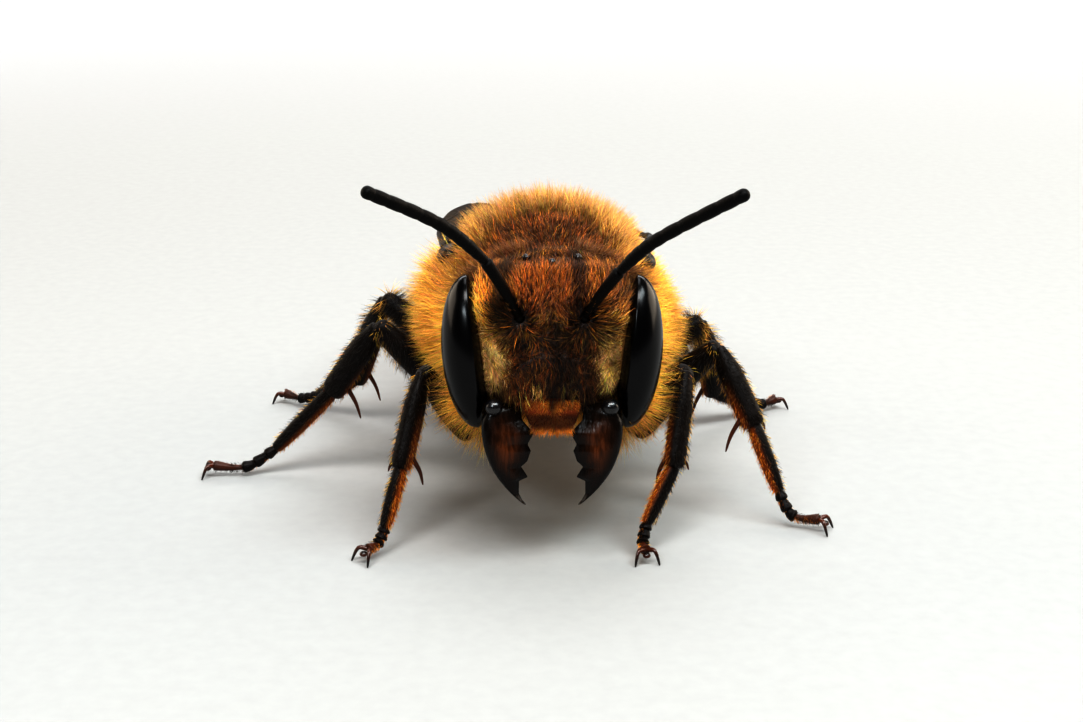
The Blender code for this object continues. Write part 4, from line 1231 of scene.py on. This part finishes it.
# %% Six legs
leg_surfaces = {}
for leg in LEG_JOINTS:
    sign = SIDES[leg.split("_")[1]]
    links, (body, hip, knee, ankle, heel, toe, foot) = leg_links(leg)
    leg_surfaces[leg] = links
    forms = [leg_skin(name, links[name], 50, 32, sign) for name in links]
    piece(f"leg_shell_{leg}", bee, forms, coated_leg, "dark_leg",
          *(f"{part}_{leg}" for part in ("coxa", "femur", "tibia", "basitarsus")))

    inward = np.array((-sign * 0.45, -0.10, -0.80)) * (1.0 if leg.startswith("front") else 1.35)
    root = between(knee, ankle, 0.88) + np.array((-sign * 0.24, -0.10, 0))
    spur = pointed(0.085, 0.6, 0.010, root, root + inward * 0.6,
                   root + inward * 1.05 + (sign * 0.10, 0, -0.10))
    root = between(knee, ankle, 0.95) + np.array((sign * 0.24, 0, 0))
    thorn = pointed(0.075, 0.7, 0.008, root, root + (sign * 0.14, 0, -0.10),
                    root + (sign * 0.22, 0, -0.32))
    way = [heel, toe, foot]
    links["foot"] = rod_surface(way, lambda v: 0.15 + 0 * v)
    beads = [rod_surface(along_path(way, np.linspace(start, start + 0.21, 3)), bead_radius)
             for start in (0.0, 0.18, 0.36)]
    last = rod_surface(along_path(way, np.linspace(0.55, 1.0, 4)), last_joint_radius)
    piece(f"foot_joints_{leg}", bee, [solid_of(bead, 24, 18) for bead in beads],
          shells["leg"], "dark_leg", f"tarsus_{leg}")
    forms = [solid_of(last, 24, 18), solid_of(spur, 20, 10), solid_of(thorn, 16, 10)]
    piece(f"foot_end_{leg}", bee, forms, shells["foot"], "rusty_foot", f"tarsus_{leg}")

    ahead = unit(np.array((foot[0] - toe[0], foot[1] - toe[1], 0)))
    across = np.cross(ahead, (0, 0, 1))
    claws = []
    for aside in (-1, 1):
        over = foot + (across * aside * 0.75 + ahead * 0.55) * CLAW_SPREAD
        tip = foot * (1, 1, 0) + (across * aside * 1.10 + ahead * 1.05) * CLAW_SPREAD
        claws.append(pointed(0.075, 0.55, 0.012, foot + across * aside * 0.07, over + (0, 0, 0.02),
                             tip + (0, 0, 0.02), up=(0.3, 0.2, 1)))
    pad = ball_surface(foot + ahead * 0.20 + (0, 0, -0.10), (0.13, 0.13, 0.09))
    forms = [solid_of(claw, 26, 12) for claw in claws] + [solid_of(pad, 12, 16)]
    piece(f"claws_{leg}", bee, forms, shells["claw"], "rusty_foot", f"tarsus_{leg}")

# %% [markdown]
# ## The coat of the thorax
# The most hair grows here. It stands nearly upright all over the chest, a millimetre or more long
# behind and on the flanks, shorter on the collar, and half as long on the dark disc of the back. It
# is grown in four pieces, one for each quarter of the body as seen from the front.

# %% Thorax coat
QUARTERS = {  # hairs, and the stretch round the body's axis
    "top": (17500, (0.125, 0.375)), "right": (16200, (0.375, 0.625)),
    "belly": (5500, (0.625, 0.875)), "left": (16200, (-0.125, 0.125)),
}


def lie_back(roots):
    """Hair leans away from the body's axis, backwards, and a little down."""
    return unit((roots - THORAX) * (1, 0, 1)) * 0.9 + np.array((0, 0.5, -0.25))


def chest_density(places, normals):
    """Sparse on the dark disc, and where the neck and the waist join."""
    ends = gentle(np.abs(from_chest(places)[1]), 3.05, 3.4)
    return (1 - 0.45 * disc_of_back(places)) * (1 - 0.9 * ends)


def chest_length(roots):
    """Longest on the flanks and behind, shorter at the collar, below, on the disc and at the wings."""
    x, y, z = from_chest(roots)
    long = 1.08 + 0.10 * gentle(y, 0.0, 2.0) - 0.22 * gentle(-y, 1.6, 2.8) - 0.10 * gentle(-z, 0.5, 2.0)
    right, left = gentle(-x, 1.2, 3.0) * hump(z, 1.4, 1.5), gentle(x, 1.4, 3.0) * hump(z, 1.6, 1.3)
    wing_root = hump(np.abs(x), 2.8, 0.55) * hump(y, 0.0, 1.4) * hump(z, 2.1, 0.6)
    shorter = (1 - 0.55 * disc_of_back(roots)), (1 - np.where(x > 0, 0.2, 0.4) * wing_root)
    return (long + (0.34 * right - 0.28 * left)) * shorter[0] * shorter[1]


for seed, (quarter, (count, turn)) in enumerate(QUARTERS.items(), 10):
    rooted = scatter(chest_surface, count, chest_density, seed, (turn, OFF_POLES))
    roots = rooted[0]
    dark = disc_of_back(roots)
    tint = speckled(blurred(chest_tint, roots, 0.15, seed), RUST, 0.22 * dark, seed)
    tint = speckled(tint, ORANGE * 0.8, 0.12 * dark, seed + 40)
    fur(f"chest_coat_{quarter}", bee, "golden_fur", ("thorax",), rooted, lie=lie_back(roots),
        length=chest_length(roots), width=0.0135, tint=tint, seed=seed,
        stand=(0.15, 0.60), lock=0.32, stray=0.16, ragged=0.24)

# %% [markdown]
# ## The coat of the head
# The face has its own lie of hair in each region. Down the brow it stands forward and up in
# orange-brown streaks; beside the eyes it is pale and combed inwards; over the shield it is sparse,
# short and hangs down; on the crown it is short and brown. Behind the eyes a long golden fringe
# stands out sideways like lashes, all the way round from the crown to the jaws.

# %% Where and how the face is hairy
EYE_CLEAR = 1.0  # hair keeps this many eye sizes from the middle of each eye
TRACE = 1e-9  # a density that is as good as none


def eye_sizes(places):
    """How many eye sizes a place is from the middle of its eye: 1 on the eye's surface."""
    x, y, z = folded(places)
    c, s = math.cos(math.radians(EYE_LEAN)), math.sin(math.radians(EYE_LEAN))
    dx, dz = x - EYE_PLACE[0], z - EYE_PLACE[2]
    across, rise = (c * dx - s * dz) / EYE_HALF[0], (s * dx + c * dz) / EYE_HALF[2]
    across = across / np.where(across < 0, eye_inner(np.clip(rise, -1, 1)), 1.0)
    return np.sqrt(across**2 + ((y - EYE_PLACE[1]) / EYE_HALF[1]) ** 2 + rise**2)


def off_eyes(places):
    """0 under the eyes and 1 elsewhere."""
    return eye_sizes(places) > EYE_CLEAR


def shorter_by_eyes(roots):
    """Hair is short at an eye's edge, so that it doesn't hang over it."""
    return 0.40 + 0.60 * gentle(eye_sizes(roots), 1.0, 1.9)


def off_sockets(places):
    """0 on the feeler sockets and 1 elsewhere."""
    x, _, z = folded(places)
    near = (x - SOCKET[0]) ** 2 + (z - SOCKET[1]) ** 2
    return 1 - np.exp(-near / 0.30**2)


def face_part(places):
    """1 on the front of the head."""
    return gentle(-places[..., 1], 0.25, 0.75)


def brow_density(places, normals):
    """Above the sockets and over the crown, with a bald strip where the simple eyes stand."""
    x, y, z = folded(places)
    upper = gentle(z, 0.35, 0.8) * np.maximum(face_part(places), gentle(z, 1.9, 2.3))
    bald = 0.9 * hump(y, -0.62, 0.26) * gentle(-x, -1.4, -1.1) * gentle(z, 2.15, 2.35)
    return upper * off_eyes(places) * off_sockets(places) * (1 - bald) + TRACE


def cheek_density(places, normals):
    """Below the sockets: dense beside the eyes, sparse on the shield and down its middle line."""
    x, _, z = folded(places)
    low = gentle(-z, -1.2, -0.5)
    shield = gentle(-x, -1.5, -1.1) * gentle(-z, -0.75, -0.35)
    line = hump(x, 0.0, 0.07) * gentle(-z, 0.0, 0.6)
    patch = 1.3 * hump(x, 1.85, 0.40) * gentle(-z, -0.8, -0.3)
    wanted = 1 + patch - 0.55 * shield - 0.2 * line
    return face_part(places) * low * off_eyes(places) * off_sockets(places) * wanted + TRACE


def pale_patch(roots):
    """1 on the pale patch beside and below each eye's middle."""
    return gentle(np.abs(roots[:, 0]), 1.25, 1.6) * gentle(-roots[:, 2], -0.8, -0.3)


def face_lie(roots):
    """Up the brow, away from the sockets, down the pale patches and the shield."""
    x, z = roots[:, 0], roots[:, 2]
    up = gentle(z, 0.1, 0.8) * 1.4 - gentle(-z, 0.3, 0.9) - 0.3 * pale_patch(roots)
    side = -np.sign(x) * gentle(np.abs(x), 0.9, 1.4) * gentle(-z, -0.9, -0.2) * 0.55
    away = np.stack([x - np.sign(x) * SOCKET[0], np.zeros(len(x)), z - SOCKET[1]], -1)
    fan = np.where(np.abs(x) > SOCKET[0], 1.05, 0.65)[:, None]
    near = np.exp(-(away**2).sum(-1, keepdims=True) / fan**2)
    return np.stack([side, np.full(len(x), -0.2), up - 0.05], -1) * (1 - 0.8 * near) + unit(away) * near

# %% Hair of the brow and the cheeks
rooted = scatter(head_surface, 15500, brow_density, 21)
roots = rooted[0]
crown = gentle(roots[:, 2], 1.95, 2.35)
tint = speckled(blurred(head_tint, roots, 0.13, 21), SOOT, 0.30, 21)
tint = speckled(tint, ORANGE * 0.8, 0.05, 22)
fur("brow_coat", head, "brown_fur", ("head",), rooted, lie=face_lie(roots),
    length=(0.64 - 0.34 * crown) * shorter_by_eyes(roots), width=0.0115, tint=tint, seed=21,
    stand=(0.60, 1.10), lock=0.26, ragged=0.26, mottle=0.85, weave=(1.1, 0.3, 0.12))

rooted = scatter(head_surface, 12500, cheek_density, 22)
roots = rooted[0]
x, _, z = roots.T
patch = pale_patch(roots)
dark = 0.32 * gentle(-np.abs(x), -1.5, -1.1)
tufts = hump(np.abs(x), 0.48, 0.22) * hump(z, -1.22, 0.26)
tint = speckled(blurred(head_tint, roots, 0.12, 23), SOOT, dark, 24)
tint = speckled(tint, RUST, 0.6 * dark, 26)
tint = speckled(tint, PALE * 0.6, 0.18 * hump(z, -1.45, 0.2) + 0.55 * tufts, 25)
tint = mixed(tint, SOOT, 0.9 * hump(x, 0, 0.15) * gentle(-z, 0.7, 1.05))
blotches = 1 + 2.2 * dark[:, None] * swirl(roots * (1, 1, 0.7), 0.34, 29)[:, :1]
tint = tint * blotches.clip(0.2, 2.2) * (1 + 0.6 * dark[:, None])
fur("cheek_coat", head, "brown_fur", ("head",), rooted, lie=face_lie(roots),
    length=0.48 * shorter_by_eyes(roots), width=0.0100, tint=tint, seed=22,
    stand=(0.50 + 0.30 * patch, 1.15 + 0.20 * patch), lock=(0.40 + 0.35 * patch)[:, None],
    stray=0.14, ragged=0.30, mottle=(0.7 - 0.25 * patch)[:, None], weave=(1.2, 0.5, 0.5))

# %% Fringe behind the eyes


def fringe_density(places, normals):
    """Behind the eyes and under the head, but not on the back, where the neck is."""
    x, y, z = folded(places)
    side = gentle(y, -0.15, 0.25) * gentle(-y, -1.45, -1.15) * (1 + 0.6 * gentle(-z, 0.6, 1.3))
    under = 1.8 * gentle(-z, 1.2, 1.7) * gentle(y, -0.6, -0.1)
    return np.maximum(side * gentle(x + 0.4 * np.abs(z), 1.5, 2.0), under) * off_eyes(places) + TRACE


def fringe_lie(roots):
    """Outwards from the middle of the face, a little down and back."""
    out = unit(roots * (1, 0, 1) - (0, 0, 0.35))
    return out + np.array((0, 0.22, -0.10))


def fringe_length(roots):
    """Longest beside and below the eyes, short on the temples and under the mouth."""
    x, _, z = folded(roots)
    side = gentle(-z, -0.8, 0.8) * gentle(x, 0.8, 1.8)
    low = gentle(-z, 1.0, 1.6) * gentle(x, 0.9, 1.5)
    return 1.02 + 0.48 * side + 0.25 * low - 0.32 * gentle(z, 1.2, 2.4)


for seed, (side, turn) in enumerate({"left": (-0.25, 0.25), "right": (0.25, 0.75)}.items(), 31):
    rooted = scatter(head_surface, 9500, fringe_density, seed, (turn, OFF_POLES))
    roots = rooted[0]
    fur(f"fringe_coat_{side}", head, "golden_fur", ("head",), rooted, lie=fringe_lie(roots),
        length=fringe_length(roots), width=0.0120, tint=head_tint(roots), seed=seed,
        stand=(0.5, 0.9), lock=0.36, stray=0.18, ragged=0.28, mottle=0.5)

# %% Hair of the nape


def nape_density(places, normals):
    """On the back of the head, but not where the neck joins."""
    x, y, z = np.moveaxis(places, -1, 0)
    return gentle(y, 0.7, 1.1) * gentle(np.hypot(x, z + 0.2), 0.75, 1.15) + TRACE


rooted = scatter(head_surface, 3500, nape_density, 34)
roots = rooted[0]
tint = speckled(layered(roots, GOLD), BROWN, 0.3 + 0.7 * gentle(roots[:, 2], 1.0, 1.8), 34)
fur("nape_coat", head, "golden_fur", ("head",), rooted, lie=unit(roots * (1, 0, 1)), length=0.62,
    width=0.0125, tint=tint, seed=34, stand=(0.1, 0.7), lock=0.3, ragged=0.26)

# %% Hair of the lip
LIP_HAIRS = 2800
rng = np.random.default_rng(41)
across, drop = rng.uniform(-1, 1, LIP_HAIRS), rng.uniform(0, 1, LIP_HAIRS)
nought, down = np.zeros(LIP_HAIRS), np.full(LIP_HAIRS, -1.0)
roots = np.stack([across * (0.86 - 0.28 * drop), -1.50 + 0.12 * across**2,
                  LIP_TOP - LIP_HEIGHT * (0.02 + 0.93 * drop)], -1)
normals = unit(np.stack([across * 0.3, down, nought], -1))
lie = np.stack([across * 0.25, nought, down], -1)
notch = 0.9 * hump(across, 0, 0.13) * gentle(-drop, -0.50, -0.15)
tint = layered(roots, ORANGE * 0.85, (RUST * 0.5, gentle(drop, 0.25, 0.5)),
               (ORANGE, gentle(drop, 0.8, 0.98)), (SOOT, notch))
fur("lip_fringe", head, "golden_fur", ("labrum",),
    (roots, normals, np.stack([across / 2 + 0.5, drop], -1)), lie=lie,
    length=0.17 + 0.13 * gentle(drop, 0.7, 0.95), width=0.009, tint=tint, seed=41,
    stand=(0.6, 1.2), lock=0.3)

# %% [markdown]
# ## The coat of the abdomen
# The first ring wears the gold of the thorax. The rings behind it are nearly bare above, with
# short dark hair and a thin brown fringe along each rear edge. Underneath is the brush in which
# the bee carries pollen: rows of stiff rusty hair that point backwards.

# %% Abdomen coat
REAR_RINGS = tuple(f"abdomen_{number}" for number in range(2, 7))


def ring_one_density(places, normals):
    """Dense behind the waist, thinning out towards the second ring."""
    return gentle(places[..., 1], 0.25, 0.6) * (0.35 + 0.65 * gentle(-places[..., 1], -2.2, -1.6))


def first_ring(u, v):
    return abdomen_surface(u, 0.20 * v)


def belly_skin(u, v):
    return abdomen_surface(u, 0.18 + 0.81 * v, 0.02)


def ring_edges(places):
    """1 on the rear edges of the rings, and 0 between them."""
    return sum(hump(places[..., 1] / ABDOMEN_LENGTH, end, 0.012) for end in RING_ENDS[2:6])


def sparse_density(places, normals):
    """Above: thin all over, denser on the rear edge of each ring."""
    tail = 0.5 * gentle(places[..., 1] / ABDOMEN_LENGTH, 0.8, 1.0)
    return (0.18 + ring_edges(places) + tail) * gentle(normals[..., 2], -0.45, -0.25)


def brush_density(places, normals):
    """Underneath, and not on the tail."""
    return gentle(-normals[..., 2], 0.25, 0.5) * gentle(-places[..., 1], -10.6, -9.6)


def edge_tint(roots):
    """Sooty, and brown on the rear edges of the rings."""
    return layered(roots, SOOT, (BROWN, np.clip(ring_edges(roots), 0, 1)))


def abdomen_fur(name, slot, nodes, skin, count, density, seed, tint_of, grid, **hair):
    """One of the abdomen's coats: all their hair lies backwards and a little down."""
    rooted = scatter(skin, count, density, seed, **grid)
    lie = np.broadcast_to((0.0, 1.0, -0.12), rooted[0].shape)
    fur(name, abdomen, slot, nodes, rooted, lie=lie, tint=tint_of(rooted[0]), seed=seed, **hair)


abdomen_fur("waist_coat", "golden_fur", ("abdomen_1",), first_ring, 4500, ring_one_density, 51,
            lambda roots: layered(roots, GOLD), {"area": ((0, 1), (0.02, 1.0))},
            length=0.56, width=0.0125, stand=(0.5, 1.1))
abdomen_fur("back_coat", "brown_fur", REAR_RINGS, belly_skin, 4000, sparse_density, 52,
            edge_tint, {"cells": (160, 400)}, length=0.30, width=0.013, stand=(0.9, 1.25))
abdomen_fur("pollen_brush", "brown_fur", REAR_RINGS, belly_skin, 4400, brush_density, 53,
            lambda roots: layered(roots, RUST * 1.3), {}, length=0.62, width=0.016, stand=(0.85, 1.3))

# %% [markdown]
# ## The coat of the legs
# Hair hangs from the cone and the thigh, and lies along the rest of the leg towards the foot. It is
# pale on the cone, partly as painted light from the floor, black on the thigh with gold at the knee,
# and rusty on the inner side of the lower shin and the foot. The thighs of the middle and the hind
# legs are shaggy. Each leg's hair is one piece, and every link has its own strip of the OFBake map.

# %% Leg coats
LEG_COATS = {  # hairs, length in mm, how upright at the tip
    "cone": (560, 0.62, 0.8),
    "thigh": (760, 0.30, 1.05),
    "shin": (1000, 0.26, 1.00),
    "first": (800, 0.22, 1.0),
    "foot": (350, 0.15, 1.0),
}
SKIRT = (2000, 1.05)  # hairs and their length on the cones of the front pair, under the head
SHAGGY = {"middle": (1200, 0.42), "hind": (2600, 0.62)}  # the same for the thighs of the other pairs


def even(places, normals):
    """The same density everywhere."""
    return 1.0


def leg_hair_tint(name, normals, v, sign, front, seed):
    """The markings of the skin, with gold at the knee, on the outer edge of every link and, on the
    front pair, under the thigh."""
    tint = leg_tint(name, normals, v, sign)
    if name == "thigh":
        behind = (1 - front) * gentle(-normals[:, 2], 0.1, 0.5) * gentle(v, 0.5, 0.8)
        under = front * gentle(-normals[:, 2], -0.1, 0.5) * gentle(-v, -0.6, -0.3)
        tint = layered(normals, tint, (GOLD, 0.9 * gentle(v, 0.86, 0.94)), (GOLD * 0.8, 0.6 * behind),
                       (GOLD, 0.9 * under))
    outward = sign * normals[:, 0]
    edge = 0.50 * gentle(outward, 0.45, 0.9) + 0.30 * gentle(-outward, 0.5, 0.9)
    return speckled(tint, GOLD, edge * gentle(normals[:, 1], -0.7, -0.3), seed)


for number, (leg, links) in enumerate(leg_surfaces.items()):
    forms = []
    pair, side = leg.split("_")
    sign, front, hind = SIDES[side], pair == "front", pair == "hind"
    knee, heel = (np.array(LEG_JOINTS[leg][joint]) for joint in (2, 4))
    for strip, (name, (count, length, bend)) in enumerate(LEG_COATS.items()):
        seed = 60 + 10 * number + strip
        shaggy = name == "thigh" and not front
        if name == "cone" and front:
            count, length = SKIRT
        if shaggy:
            count, length = SHAGGY[pair]
        roots, normals, shares = scatter(links[name], count, even, seed, ((0, 1), (0.04, 0.97)), (40, 60))
        lie = (0.0, 0.0, -1.0) if name in ("cone", "thigh") else unit(heel - knee)
        v = shares[:, 1]
        if shaggy:
            length = length * (1 - (0.15 if hind else 0.35) * gentle(v, 0.7, 0.9))
        if name == "shin" and hind:
            length = length * (1 + 0.9 * gentle(-v, -0.6, -0.2))
        upright = 0.45 if shaggy and hind else 1.0
        tint = leg_hair_tint(name, normals, v, sign, front, seed)
        forms.append(coat(roots, normals, shares, np.broadcast_to(lie, roots.shape), length,
                          width=0.0070, tint=tint, seed=seed, stand=(0.75 * upright, bend * upright),
                          lock=0.15, mottle=0.2,
                          strip=(strip / len(LEG_COATS), (strip + 1) / len(LEG_COATS))))
    piece(f"leg_hair_{leg}", bee, forms, coat_hair, "brown_fur", f"femur_{leg}", f"tibia_{leg}")
